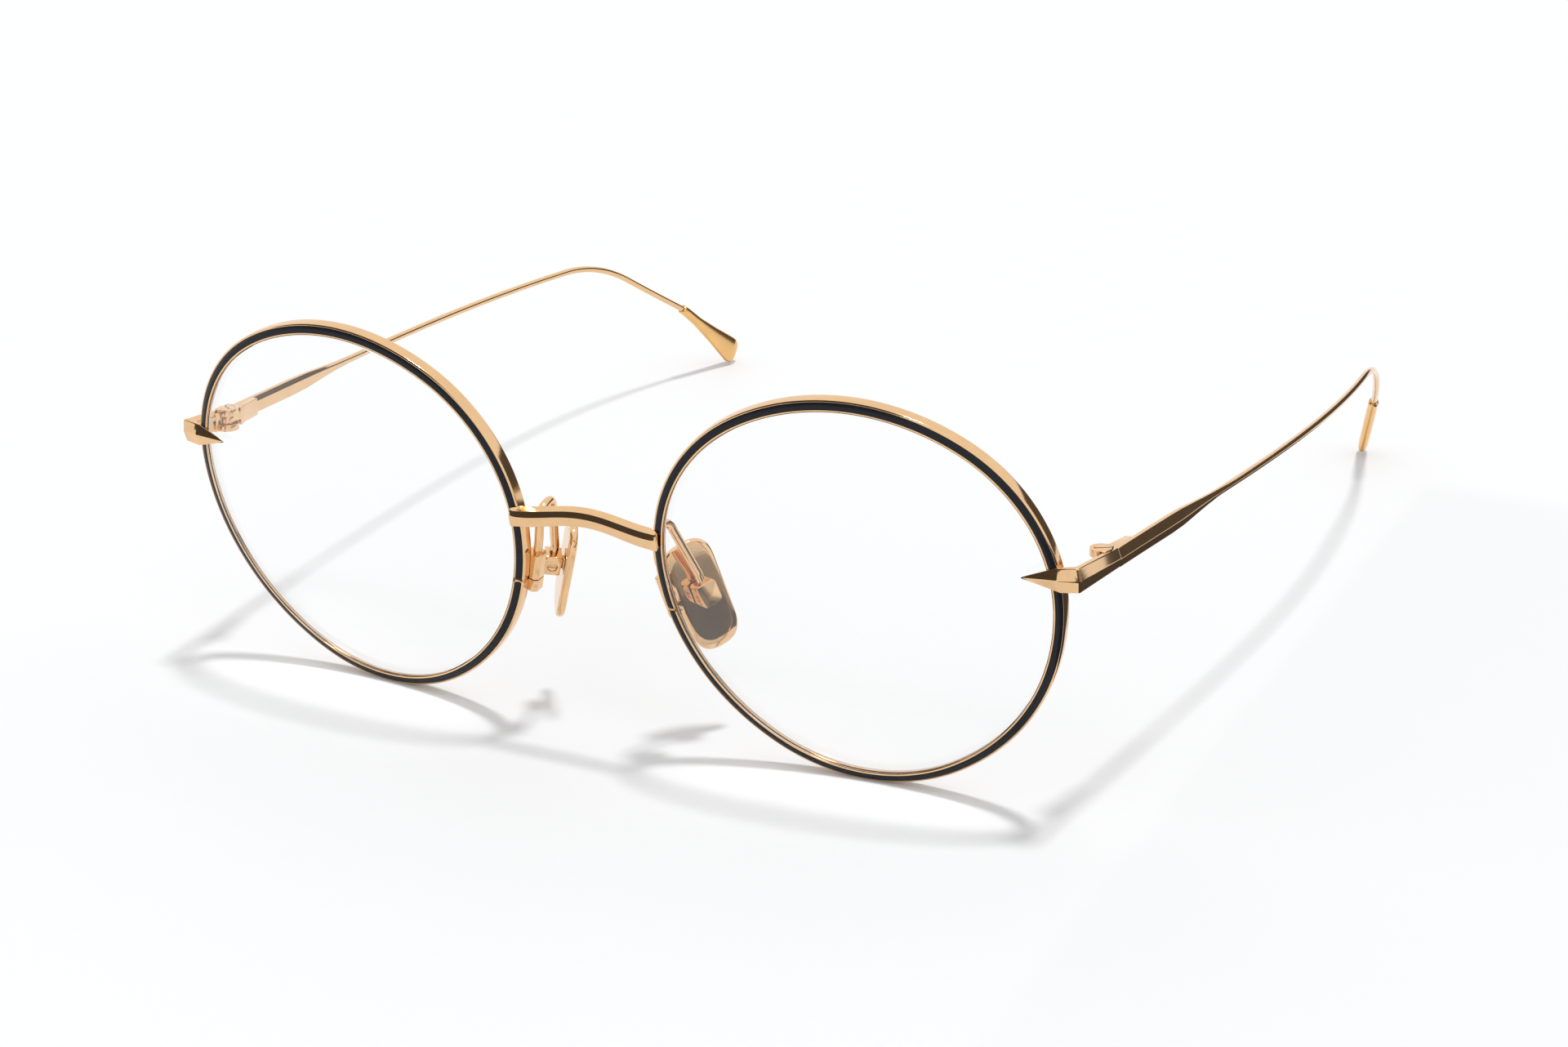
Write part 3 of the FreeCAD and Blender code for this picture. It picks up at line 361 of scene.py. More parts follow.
def wire_rings(points, radius, segments=20, caps=4):
    """Round rings along a line of points, carried without twist, with half-round ends."""
    points = np.asarray(points, float)
    tangent = np.gradient(points, axis=0)
    tangent /= np.linalg.norm(tangent, axis=1)[:, None]
    side = np.cross(tangent[0], (0.3, 0.9, 0.2))
    side /= np.linalg.norm(side)
    sides = [side]
    for row in tangent[1:]:
        side = side - row * (side @ row)
        side = side / np.linalg.norm(side)
        sides.append(side)
    sides = np.array(sides)
    other = np.cross(tangent, sides)
    angle = np.linspace(0, TAU, segments, endpoint=False)[None, :, None]
    radius = np.broadcast_to(radius, (len(points),))[:, None, None]
    circle = np.cos(angle) * sides[:, None] + np.sin(angle) * other[:, None]
    rings = points[:, None] + circle * radius
    turns = np.linspace(0, 0.48 * math.pi, caps + 1)[1:]
    head, tail = ([points[row] + circle[row] * radius[row] * math.cos(a)
                   + tangent[row] * radius[row, 0] * (way * math.sin(a)) for a in turns]
                  for row, way in ((0, -1), (-1, 1)))
    return np.concatenate([np.array(head[::-1]), rings, np.array(tail)])


def bent_line(points, bend, cuts=12):
    """Straight runs joined by circular arcs of one radius, smaller where a run is short."""
    points = [np.asarray(p, float) for p in points]
    line = [points[0]]
    for a, b, c in zip(points[:-2], points[1:-1], points[2:]):
        into, out = (b - a) / np.linalg.norm(b - a), (c - b) / np.linalg.norm(c - b)
        half = 0.5 * math.acos(np.clip(into @ out, -1, 1))
        back = min(bend * math.tan(half), 0.48 * min(np.linalg.norm(b - a), np.linalg.norm(c - b)))
        radius = back / math.tan(half)
        sideways = out - into * (into @ out)
        sideways /= np.linalg.norm(sideways)
        start = b - into * back
        angle = np.linspace(0, 2 * half, cuts)[:, None]
        line.extend(start + radius * (np.sin(angle) * into + (1 - np.cos(angle)) * sideways))
    line.append(points[-1])
    dense = [line[0]]
    for first, second in zip(line[:-1], line[1:]):
        pieces = max(1, int(np.linalg.norm(second - first) / 0.35))
        dense.extend(first + (second - first) * (k + 1) / pieces for k in range(pieces))
    return np.array(dense)


# Materials -------------------------------------------------------------------

BUMP_DEPTH = 0.00002  # metres


def link(tree, source, target):
    tree.links.new(source, target)


def combined(tree, operation, first, second):
    """The output of a math node fed by two sockets."""
    node = tree.nodes.new("ShaderNodeMath")
    node.operation = operation
    link(tree, first, node.inputs[0])
    link(tree, second, node.inputs[1])
    return node.outputs[0]


def add_bump(tree, shader, height, strength):
    """Fine relief from a height socket."""
    relief = tree.nodes.new("ShaderNodeBump")
    relief.inputs["Strength"].default_value = strength
    relief.inputs["Distance"].default_value = BUMP_DEPTH
    link(tree, height, relief.inputs["Height"])
    link(tree, relief.outputs["Normal"], shader.inputs["Normal"])


def polish_group():
    """Fine hand-polish: faint drawn scratches and soft smears over Object coordinates."""
    tree = bpy.data.node_groups.new("Polish", "ShaderNodeTree")
    face = tree.interface
    inputs = (("Scratch Scale", 5200.0), ("Smear Scale", 420.0), ("Base Roughness", 0.12), ("Smear", 0.08))
    for name, value in inputs:
        face.new_socket(name, in_out="INPUT", socket_type="NodeSocketFloat").default_value = value
    for name in ("Roughness", "Height", "Tone"):
        face.new_socket(name, in_out="OUTPUT", socket_type="NodeSocketFloat")
    nodes = tree.nodes
    given, result = nodes.new("NodeGroupInput"), nodes.new("NodeGroupOutput")
    coords = nodes.new("ShaderNodeTexCoord")
    stretch = nodes.new("ShaderNodeMapping")
    stretch.inputs["Rotation"].default_value = (0.5, 0.3, 0.7)
    stretch.inputs["Scale"].default_value = (1.0, 0.12, 1.0)
    link(tree, coords.outputs["Object"], stretch.inputs["Vector"])
    fine = nodes.new("ShaderNodeTexNoise")
    fine.inputs["Detail"].default_value = 3.0
    link(tree, stretch.outputs["Vector"], fine.inputs["Vector"])
    link(tree, given.outputs["Scratch Scale"], fine.inputs["Scale"])
    smear = nodes.new("ShaderNodeTexNoise")
    smear.inputs["Detail"].default_value = 4.0
    smear.inputs["Roughness"].default_value = 0.6
    link(tree, coords.outputs["Object"], smear.inputs["Vector"])
    link(tree, given.outputs["Smear Scale"], smear.inputs["Scale"])
    spread = combined(tree, "MULTIPLY", smear.outputs["Fac"], given.outputs["Smear"])
    total = combined(tree, "ADD", spread, given.outputs["Base Roughness"])
    link(tree, total, result.inputs["Roughness"])
    link(tree, fine.outputs["Fac"], result.inputs["Height"])
    link(tree, smear.outputs["Fac"], result.inputs["Tone"])
    return tree


def new_material(name):
    """A node material, its tree and its Principled shader."""
    material = bpy.data.materials.new(name)
    material.use_nodes = True
    return material, material.node_tree, material.node_tree.nodes["Principled BSDF"]


def add_polish(tree, shader, low, high, rough, smear, bump, scratch):
    """The Polish group behind a shader; low and high are (position, colour) along its tone."""
    group = tree.nodes.new("ShaderNodeGroup")
    group.node_tree = bpy.data.node_groups["Polish"]
    group.inputs["Scratch Scale"].default_value = scratch
    group.inputs["Base Roughness"].default_value = rough
    group.inputs["Smear"].default_value = smear
    ramp = tree.nodes.new("ShaderNodeValToRGB")
    for element, (position, colour) in zip(ramp.color_ramp.elements, (low, high)):
        element.position = position
        element.color = (*colour, 1)
    link(tree, group.outputs["Tone"], ramp.inputs["Fac"])
    link(tree, ramp.outputs["Color"], shader.inputs["Base Color"])
    link(tree, group.outputs["Roughness"], shader.inputs["Roughness"])
    add_bump(tree, shader, group.outputs["Height"], bump)


def polished(name, light, deep, rough, smear, bump, scratch=5200.0):
    """Polished metal: two close tones blended by the smears, with a fine scratch bump."""
    material, tree, shader = new_material(name)
    shader.inputs["Metallic"].default_value = 1.0
    add_polish(tree, shader, (0.32, deep), (0.68, light), rough, smear, bump, scratch)
    return material


def enamel_material(settings):
    """Black fired enamel: almost even, very slightly mottled, under a clear gloss."""
    material, tree, shader = new_material("black_enamel")
    shader.inputs["Coat Weight"].default_value = 0.06
    shader.inputs["Coat Roughness"].default_value = 0.04
    shader.inputs["Specular IOR Level"].default_value = 0.16
    dark, light = ([c * by for c in settings.enamel_tone] for by in (0.75, 1.35))
    add_polish(tree, shader, (0.0, dark), (1.0, light), 0.16, 0.12, 0.15, 2600.0)
    return material


def lens_material():
    """Clear lens: smooth transmission with faint wiping marks, and no dark shadow."""
    material, tree, shader = new_material("lens_clear")
    shader.inputs["Base Color"].default_value = (0.992, 0.996, 0.995, 1)
    shader.inputs["Transmission Weight"].default_value = 1.0
    shader.inputs["IOR"].default_value = 1.5
    shader.inputs["Roughness"].default_value = 0.0
    wipe = tree.nodes.new("ShaderNodeTexNoise")
    coords = tree.nodes.new("ShaderNodeTexCoord")
    wipe.inputs["Scale"].default_value = 160.0
    wipe.inputs["Detail"].default_value = 3.0
    link(tree, coords.outputs["Object"], wipe.inputs["Vector"])
    add_bump(tree, shader, wipe.outputs["Fac"], 0.02)
    clear = tree.nodes.new("ShaderNodeBsdfTransparent")
    mix = tree.nodes.new("ShaderNodeMixShader")
    path = tree.nodes.new("ShaderNodeLightPath")
    link(tree, path.outputs["Is Shadow Ray"], mix.inputs["Fac"])
    link(tree, shader.outputs["BSDF"], mix.inputs[1])
    link(tree, clear.outputs["BSDF"], mix.inputs[2])
    link(tree, mix.outputs["Shader"], tree.nodes["Material Output"].inputs["Surface"])
    return material


MATERIALS = {}


def materials(settings):
    """Every finish of the eyeglasses, made once."""
    if MATERIALS:
        return MATERIALS
    polish_group()
    gold, tip = tuple(settings.gold_tone), tuple(settings.tip_tone)

    def darker(tone, by):
        return tuple(c * by for c in tone)

    MATERIALS["frame_gold"] = polished("rose_gold_polished", gold, darker(gold, 0.93), 0.07, 0.07, 0.10)
    MATERIALS["tip_gold"] = polished("ear_tip_gold", tip, darker(tip, 0.93), 0.14, 0.08, 0.12)
    MATERIALS["pad_gold"] = polished("nose_pad_mirror", gold, darker(gold, 0.92), 0.03, 0.05, 0.05, 3000.0)
    MATERIALS["screw_gold"] = polished("screw_gold", gold, darker(gold, 0.85), 0.12, 0.10, 0.3, 9000.0)
    MATERIALS["enamel"] = enamel_material(settings)
    MATERIALS["lens"] = lens_material()
    return MATERIALS


# Pieces ----------------------------------------------------------------------

def in_lens(points):
    """Lens coordinates to the front's frame."""
    centre, axes = lens_axes()
    return centre + np.asarray(points) @ axes.T


def band_rings(profile, angles, squeeze=None):
    """A profile of (offset, forward) points carried round the lens outline by normal angle."""
    profile, angles = np.asarray(profile, float), np.asarray(angles, float)
    middle = profile.mean(0)
    if squeeze is None:
        squeeze = np.ones(len(angles))
    shaped = middle + (profile[None] - middle) * squeeze[:, None, None]
    x, y = outline(angles[:, None], shaped[..., 0])
    return in_lens(np.stack([x, y, shaped[..., 1]], -1))


def normal_at(height):
    """Direction of the outline's normal at a height on the temple side."""
    radius = TIGHT if height >= LOBE_SHIFT / 2 else WIDE
    return math.asin((height - LOBE_SHIFT / 2) / radius)


def lock_angle():
    """Direction of the outline's normal at the lock's split, on the nose side."""
    return math.pi + math.asin((LOCK_DROP + LOBE_SHIFT / 2) / WIDE)


def build_rims(gold):
    """A grooved band carried round the lens outline from one side of the lock's split to the other.

    The section runs from the front lip over the enamel's channel and the outer wall to the
    back, and into the lens groove. Each corner is (offset, forward, rounding).
    """
    near, far = -RIM_LIP + ENAMEL_INNER, RIM_WALL - ENAMEL_OUTER
    section = np.array([
        (-RIM_LIP, RIM_NOSE - 0.02, 0.06), (near - 0.03, RIM_NOSE - 0.01, 0.04),
        (near, RIM_NOSE - 0.14, 0.03), (far, -RIM_SHOULDER - 0.08, 0.03),
        (far + 0.02, -RIM_SHOULDER + 0.05, 0.04), (RIM_WALL, -RIM_SHOULDER - 0.06, 0.10),
        (RIM_WALL, -RIM_BACK, 0.26), (-RIM_LIP, -RIM_BACK, 0.24),
        (-RIM_LIP, -GROOVE_MID - 0.42, 0.05), (0.03, -GROOVE_MID - 0.1, 0.03),
        (0.03, -GROOVE_MID + 0.1, 0.03), (-RIM_LIP, -GROOVE_MID + 0.42, 0.05),
    ])
    corners, rounding = section[:, :2], section[:, 2]
    profile = np.concatenate([rounded_corner(corners, i, radius) for i, radius in enumerate(rounding)])
    gap = 0.5 * SPLIT / LENS_RADIUS
    angles = np.linspace(lock_angle() + gap, lock_angle() + TAU - gap, RIM_STEPS + 1)
    make_pair("rim_band", tube(band_rings(profile, angles)), gold, "front", "frame_gold", "rim")
    around = np.linspace(0, TAU, RIM_STEPS + 1)[:-1]
    make_pair("rim_seat", tube(band_rings(SEAT_WALL, around), True), gold, "front", "frame_gold")


def rounded_corner(points, index, radius, cuts=4):
    """A quadratic curve in place of one corner of a flat outline."""
    corner = points[index]
    before, after = points[index - 1] - corner, points[(index + 1) % len(points)] - corner
    a, b = (side / np.linalg.norm(side) * min(radius, 0.45 * np.linalg.norm(side))
            for side in (before, after))
    t = np.linspace(0, 1, cuts + 1)[:, None]
    return (1 - t) ** 2 * (corner + a) + 2 * t * (1 - t) * corner + t**2 * (corner + b)


def build_enamel(black):
    """Three lengths of enamel per rim, domed across and drawn in at both ends.

    Across the channel the surface is a straight slope from lip to shoulder, raised by half
    a sine wave. Within half the channel's width of an end the section shrinks to it as a
    quarter circle.
    """
    near, far = -RIM_LIP + ENAMEL_INNER, RIM_WALL - ENAMEL_OUTER
    low, high = RIM_NOSE - 0.06, -RIM_SHOULDER + 0.02
    part = np.linspace(0, 1, 9)
    dome = low + (high - low) * part + ENAMEL_DOME * np.sin(math.pi * part)
    top = np.stack([near + (far - near) * part, dome], 1)
    profile = np.concatenate([top, [(far, high - ENAMEL_SKIRT), (near, low - ENAMEL_SKIRT)]])
    half = 0.5 * (far - near)
    lock, slit = lock_angle(), SPLIT / LENS_RADIUS
    spans = (
        ("top", normal_at(END_HEIGHT + END_TALL * 0.3),
         math.pi - normal_at(BRIDGE_HEIGHT + BRIDGE_TALL * 0.2)),
        ("nose", math.pi - normal_at(BRIDGE_HEIGHT - BRIDGE_TALL * 0.5), lock - slit),
        ("bottom", lock + slit, TAU + normal_at(END_HEIGHT - END_TALL * 0.35)),
    )
    for place, first, last in spans:
        length = (last - first) * LENS_RADIUS
        run = np.concatenate([half * (1 - np.cos(np.linspace(0, 0.5 * math.pi, 9)[:-1])),
                              np.linspace(half, length - half, max(12, int(length))),
                              length - half * (1 - np.cos(np.linspace(0.5 * math.pi, 0, 9)[1:]))])
        end = np.clip(np.minimum(run, length - run) / half, 0, 1)
        squeeze = np.maximum(np.sqrt(1 - (1 - end) ** 2), 0.06)
        rings = band_rings(profile, first + run / LENS_RADIUS, squeeze)
        make_pair("enamel_" + place + "_fill", tube(rings), black, "front", "enamel", "enamel_" + place)


def build_lenses(clear):
    """Two concentric spheres, closed by a bevelled edge that follows the outline."""
    angle = np.linspace(0, TAU, LENS_STEPS + 1)[:-1]
    reach = math.sqrt(LENS_CURVE**2 - LENS_RADIUS**2)
    centre = LENS_THICK / 2 - GROOVE_MID - reach
    part = np.concatenate([np.linspace(0.02, 0.9, 16), [0.95, 0.985, 0.997, 1.0]])
    lip = -BEVEL_RISE - 0.05

    def sheet(radius):
        x, y = outline(angle, lip)
        x, y = x[None] * part[:, None], y[None] * part[:, None]
        return np.stack([x, y, centre + np.sqrt(radius**2 - x**2 - y**2)], -1)

    edge = []
    for offset, forward in ((lip, 0.38), (-0.02, 0.05), (-0.02, -0.05), (lip, -0.38)):
        x, y = outline(angle, offset)
        edge.append(np.stack([x, y, np.full_like(x, forward - GROOVE_MID)], -1))
    front, back = sheet(LENS_CURVE - LENS_INSET), sheet(LENS_CURVE - LENS_THICK)
    rings = np.concatenate([front, np.array(edge), back[::-1]])
    make_pair("lens_blank", tube(in_lens(rings)), clear, "front", "lens", "lens")


def build_bridge(gold):
    """A six-cornered bar from rim to rim, arched upwards and backwards.

    The arch's share at any width is the squared cosine of a quarter turn times the width's
    share of the half span. Over the last 1.25 mm the bar thins to 0.42 of its depth.
    """
    nose = rim_point(BRIDGE_HEIGHT, RIM_NOSE, 0, -1)
    inner = rim_point(BRIDGE_HEIGHT, 0, -RIM_LIP, -1)
    front = nose[1] - BRIDGE_STAND - 0.29
    section = np.array([(0.12, -0.64), (0.0, -0.05), (0.3, 0.24), (0.85, 0.40), (1.0, 0.05), (0.85, -0.55)])
    end = inner[0] - 0.45
    shoulder = end - 1.25
    x = np.concatenate([[-end, -end + 0.5, -end + 0.9], np.linspace(-shoulder, shoulder, 61),
                        [end - 0.9, end - 0.5, end]])
    rise = np.cos(0.5 * math.pi * np.minimum(np.abs(x) / end, 1)) ** 2
    thin = 0.42 + 0.58 * np.clip((end - np.abs(x)) / 1.25, 0, 1)
    y = front + 0.45 * rise[:, None] + section[None, :, 0] * BRIDGE_DEEP * thin[:, None]
    low = np.where(section[None, :, 1] < 0, 1.15 - 0.15 * rise[:, None], 1.0)
    z = BRIDGE_HEIGHT + BRIDGE_ARCH * rise[:, None] + section[None, :, 1] * low * BRIDGE_TALL
    corners = np.stack([np.repeat(x[:, None], 6, 1), y, z], -1)
    rings = closed_ends(rounded_rings(corners, 0.10, 4, 0.05), 0.12, 4)
    make_piece("bridge_bar", tube(rings), gold, "front", ["bridge"])


def blade_corners(spot, upward, tall, wide):
    """Six corners of the blade's section about its outer crease."""
    shape = np.array([(-1.0, 0.25), (-0.72, 0.56), (-0.38, 0.55), (0, 0), (-0.09, -0.45), (-0.95, -0.44)])
    across = shape[:, :1] * wide * np.array([1, 0, 0])
    return spot[..., None, :] + across + shape[:, 1:] * tall * upward[..., None, :]


def build_end_pieces(gold):
    """Spearhead, corner and arm in one bar: straight between four six-cornered sections.

    The sections are at the spear's point, at its ridge over the rim, at the corner and at
    the butt against the temple.
    """
    corner, (_, upward) = end_corner(), slope_axes()
    rim = rim_point(END_HEIGHT, 0, RIM_WALL / 2)
    point = np.array([rim[0] - END_POINT, rim[1] - 0.82, corner[2] - 0.2])
    ridge = np.array([rim[0] + 0.2, rim[1] - END_PROUD, corner[2] + 0.2])
    tall, wide = END_TALL, ARM_WIDE
    keys = [
        [point + (0, back, up)
         for back, up in ((0.1, 0), (0.08, 0.1), (0, 0.1), (-0.1, 0), (0, -0.1), (0.08, -0.1))],
        [ridge + (0, 1.5, 0.1 * tall), ridge + (-0.2, 1.2, 0.36 * tall), ridge + (-0.3, 0.75, 0.39 * tall),
         ridge, ridge + (0.3, 0.6, -0.58 * tall), ridge + (0.3, 1.3, -0.55 * tall)],
        [corner + (-wide, wide, 0.3 * tall), corner + (-0.75, 0.55, 0.53 * tall),
         corner + (-0.34, 0.06, 0.53 * tall),
         corner, corner + (-0.2, 0.1, -0.47 * tall), corner + (-wide, wide, -0.45 * tall)],
        blade_corners(butt_point(), upward, ARM_TALL, ARM_WIDE),
    ]
    rows = between(keys, (10, 10, 24))
    rings = closed_ends(rounded_rings(rows, 0.10, 3, 0.06), 0.05, 3)
    make_pair("end_piece", tube(rings), gold, "front", "frame_gold", "endpiece")


def cross_axes(tangent, upward):
    """Sideways and upright directions, square to the tangents of a path."""
    side = np.cross(tangent, upward)
    side /= np.linalg.norm(side, axis=1)[:, None]
    return side, np.cross(side, tangent)


def build_temples(gold):
    """Blade section melting into a round wire along the temple's path.

    The wire's share rises from 0 at a run of 18 mm to 1 at 38 mm as a smooth step, three
    times the square less twice the cube. Each point goes to the wire at its own angle.
    """
    run = np.concatenate([np.linspace(BUTT_GAP, 14, 20), np.linspace(14.5, 46, 60),
                          np.linspace(47, temple_length() - 8, 110)])
    spot, tangent, upward = temple_path(run)
    scale = np.interp(run / BLADE_LENGTH, (0, 0.5, 0.62, 0.75, 0.9, 1.05, 1.25, 1.6),
                      (1, 1, 0.93, 0.78, 0.60, 0.50, 0.45, 0.42))[:, None]
    crease = spot + np.array([0.5, 0, 0]) * ARM_WIDE * scale - upward * 0.08 * ARM_TALL * scale
    corners = blade_corners(crease, upward, (ARM_TALL * scale)[:, None], (ARM_WIDE * scale)[:, None])
    blade = rounded_rings(corners, 0.10, 3, 0.06)
    side, upright = cross_axes(tangent, upward)
    away = blade - blade.mean(1, keepdims=True)
    across = np.einsum("ijk,ik->ij", away, side)
    over = np.einsum("ijk,ik->ij", away, upright)
    angle = np.arctan2(over, across)[..., None]
    wire = spot[:, None] + WIRE_RADIUS * (np.cos(angle) * side[:, None] + np.sin(angle) * upright[:, None])
    melt = np.clip((run - 18) / 20, 0, 1)
    melt = (melt**2 * (3 - 2 * melt))[:, None, None]
    rings = closed_ends(blade * (1 - melt) + wire * melt, 0.05, 3)
    make_pair("temple_bar", tube(rings), gold, "temple_{side}", "frame_gold", "temple")


def build_ear_tips(gold):
    """Flattened paddle that widens along the last of the temple.

    Its section is a superellipse: the cosine and the sine of the angle, each raised to 0.8.
    """
    total, length = temple_length(), TIP_RUN + TIP_OVERLAP
    part = np.concatenate([np.linspace(0, 0.9, 40),
                           0.9 + 0.1 * np.sin(np.linspace(0, 0.5 * math.pi, 14))[1:]])
    spot, tangent, upward = temple_path(total - length + part * length)
    side, upright = cross_axes(tangent, upward)
    half = TIP_WIDE / 2
    wide = np.interp(part, (0, 0.28, 0.55, 0.8, 0.9),
                     (TIP_NECK, 1.15 * TIP_NECK, 0.62 * half, 0.9 * half, half))
    thick = np.interp(part, (0, 0.28, 0.9), (TIP_NECK, TIP_THICK / 2, TIP_THICK / 2))
    end = np.clip((1 - part) / 0.1, 0, 1)
    blunt = np.sqrt(np.maximum(1 - (1 - end) ** 2, 0.001))
    wide, thick = wide * (0.55 + 0.45 * blunt), thick * (0.25 + 0.75 * blunt)
    angle = np.linspace(0, TAU, 40, endpoint=False)
    cosine, sine = np.cos(angle), np.sin(angle)
    across = np.sign(cosine) * np.abs(cosine) ** 0.8
    over = np.sign(sine) * np.abs(sine) ** 0.8
    rings = spot[:, None] + (wide[:, None] * across)[..., None] * upright[:, None] \
        + (thick[:, None] * over)[..., None] * side[:, None]
    make_pair("ear_tip", tube(rings), gold, "temple_{side}", "tip_gold", "temple_tip")


def in_pad(points):
    """Nose pad coordinates to the front's frame."""
    spot, axes = pad_axes()
    return spot + np.asarray(points) @ axes.T


def build_nose_pads(mirror):
    """Rounded plate: its outline shrinks over a rolled edge and then to the middle of each face."""
    bottom, top = -PAD_LOW - PAD_TALL / 2, -PAD_LOW + PAD_TALL / 2
    corners = np.array([(-PAD_WIDE / 2, bottom), (PAD_WIDE / 2, bottom),
                        (PAD_NARROW / 2, top), (-PAD_NARROW / 2, top)])
    middle = corners.mean(0)
    face = -BOX_DEEP / 2 - PAD_GAP
    inward = (0.85, 0.6, 0.3, 0.03)
    rings = [(part, PAD_ROUND, -1.0) for part in inward[::-1]]
    rings += [(1.0, PAD_ROUND * (1 - math.cos(a)), math.sin(a))
              for a in np.linspace(-0.5 * math.pi, 0.5 * math.pi, 11)]
    rings += [(part, PAD_ROUND, 1.0) for part in inward]
    skin = []
    for part, inset, over in rings:
        shrunk = corners - inset * np.sign(corners - middle)
        edge = np.concatenate([rounded_corner(shrunk, i, PAD_CORNER * 1.3 - inset, 14) for i in range(4)])
        edge = middle + (edge - middle) * part
        bow = PAD_BOW * (1 - ((edge[:, 1] - middle[1]) / (0.5 * PAD_TALL)) ** 2) - PAD_BOW
        x = face - PAD_THICK / 2 + over * PAD_THICK / 2 + max(over, 0) * bow
        skin.append(np.column_stack([x, edge[:, 0], edge[:, 1]]))
    rings = in_pad(np.array(skin))
    make_pair("pad_plate", tube(rings), mirror, "nose_pad_{side}", "pad_gold", "nose_pad")


def lock_axes():
    """On the lens edge at the split: X away from the lens, Y down the rim, Z to the front."""
    normal = lock_angle()
    x, y = outline(np.array([normal]), 0.0)
    centre, axes = lens_axes()
    local = turn("Z", math.degrees(normal))
    return centre + axes @ np.array([x[0], y[0], 0]), axes @ local


def build_pad_arms(gold):
    """Round wire from the lock's top, over its loop and down into the box."""
    spot, axes = lock_axes()
    foot = spot + axes @ np.array([LOCK_REACH / 2, -(LOCK_UPPER + SPLIT / 2) + 0.3,
                                   -RIM_BACK - LOCK_HEAD - 0.08])
    rise = axes @ np.array([0, -1, 0])
    crest = np.array([foot[0] - LOOP_IN, foot[1] + LOOP_BACK, LOOP_RISE])
    over = crest + np.array([0.3, LOOP_LONG, -0.1])
    box_top = in_pad([[0, 0, BOX_TALL / 2 - 0.3]])[0]
    above = in_pad([[0, 0, BOX_TALL / 2 + 1.2]])[0]
    line = bent_line([foot, foot + rise * 2.2, crest, over, above, box_top], LOOP_ROUND)
    make_pair("pad_wire", tube(wire_rings(line, ARM_WIRE)), gold, "front", "frame_gold", "pad_arm")


WELD_REACH = 1e-7  # metres
FLAT_LIMIT, SHARP_LIMIT = math.radians(1.0), math.radians(28)


def softened(node, name, width, material, body):
    """A welded copy of a CAD node with its sharp edges broken by a bevel, its width in millimetres."""
    mesh = frame["nodes"][node].data.copy()
    mesh.name = name
    obj = bpy.data.objects.new(name, mesh)
    bpy.context.scene.collection.objects.link(obj)
    work = bmesh.new()
    work.from_mesh(mesh)
    bmesh.ops.remove_doubles(work, verts=work.verts, dist=WELD_REACH)
    bmesh.ops.dissolve_limit(work, angle_limit=FLAT_LIMIT, verts=work.verts, edges=work.edges)
    work.to_mesh(mesh)
    work.free()
    mesh.materials.clear()
    mesh.materials.append(material)
    bevel = obj.modifiers.new("broken_edges", "BEVEL")
    bevel.width = width / 1000
    bevel.segments = 3
    bevel.limit_method = "ANGLE"
    bevel.angle_limit = SHARP_LIMIT
    bevel.harden_normals = True
    mesh.polygons.foreach_set("use_smooth", [True] * len(mesh.polygons))
    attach(obj, body)
    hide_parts(node)


# CAD node, piece, bevel width, body and slot.
FITTINGS = (
    ("rim_lock_upper", "lock_block_upper", 0.22, "front", "frame_gold"),
    ("rim_lock_lower", "lock_block_lower", 0.22, "front", "frame_gold"),
    ("rim_lock_screw", "lock_screw", 0.05, "front", "screw_gold"),
    ("pad_box", "pad_case", 0.25, "front", "frame_gold"),
    ("pad_screw", "pad_pin", 0.05, "front", "screw_gold"),
    ("pad_stem", "pad_tongue", 0.05, "nose_pad_{side}", "pad_gold"),
    ("hinge_front", "hinge_knuckles", 0.08, "front", "frame_gold"),
    ("hinge_temple", "hinge_leaf", 0.08, "temple_{side}", "frame_gold"),
    ("hinge_screw", "hinge_pin", 0.06, "front", "screw_gold"),
)


def build_fittings(finishes):
    """Locks, boxes, stems, hinges and screws, from their own CAD nodes."""
    for node, name, width, body, slot in FITTINGS:
        for side in SIDES:
            softened(node + "_" + side, name + "_" + side, width, finishes[slot],
                     body.format(side=side))


# Stage -----------------------------------------------------------------------

# The view and the ceiling light: a place and directions in the front's frame.
VIEW_FROM = (164.29, -254.59, 166.0)
VIEW_RIGHT = (0.89601, 0.43745, -0.07618)
VIEW_DOWN = (0.15056, -0.46070, -0.87469)
VIEW_ALONG = (-0.41773, 0.77226, -0.47865)
LIGHT_ALONG = (-0.10, -0.13, -0.985)
LIGHT_SPREAD, TABLE_REACH = math.radians(7), 3.0
CARD_TINT = (1.0, 0.92, 0.86)
# Name, centre, facing, width, height and strength of each card; ground frame, metres.
CARDS = (
    ("card_front_upper", (-0.50, -0.86, 0.60), (0.50, 0.86, -0.60), 1.3, 1.15, 0.07),
    ("card_right", (0.40, 0.46, 0.12), (-0.40, -0.46, 0.0), 0.9, 0.24, 0.09),
    ("card_right_low", (0.38, 0.46, 0.0015), (0.0, 0.001, 1.0), 0.5, 0.5, 0.10),
    ("card_side_low", (0.115, -0.045, 0.0015), (0.0, 0.001, 1.0), 0.09, 0.22, 0.07),
    ("card_side_far", (0.26, -0.055, 0.0015), (0.0, 0.001, 1.0), 0.20, 0.24, 0.30),
)


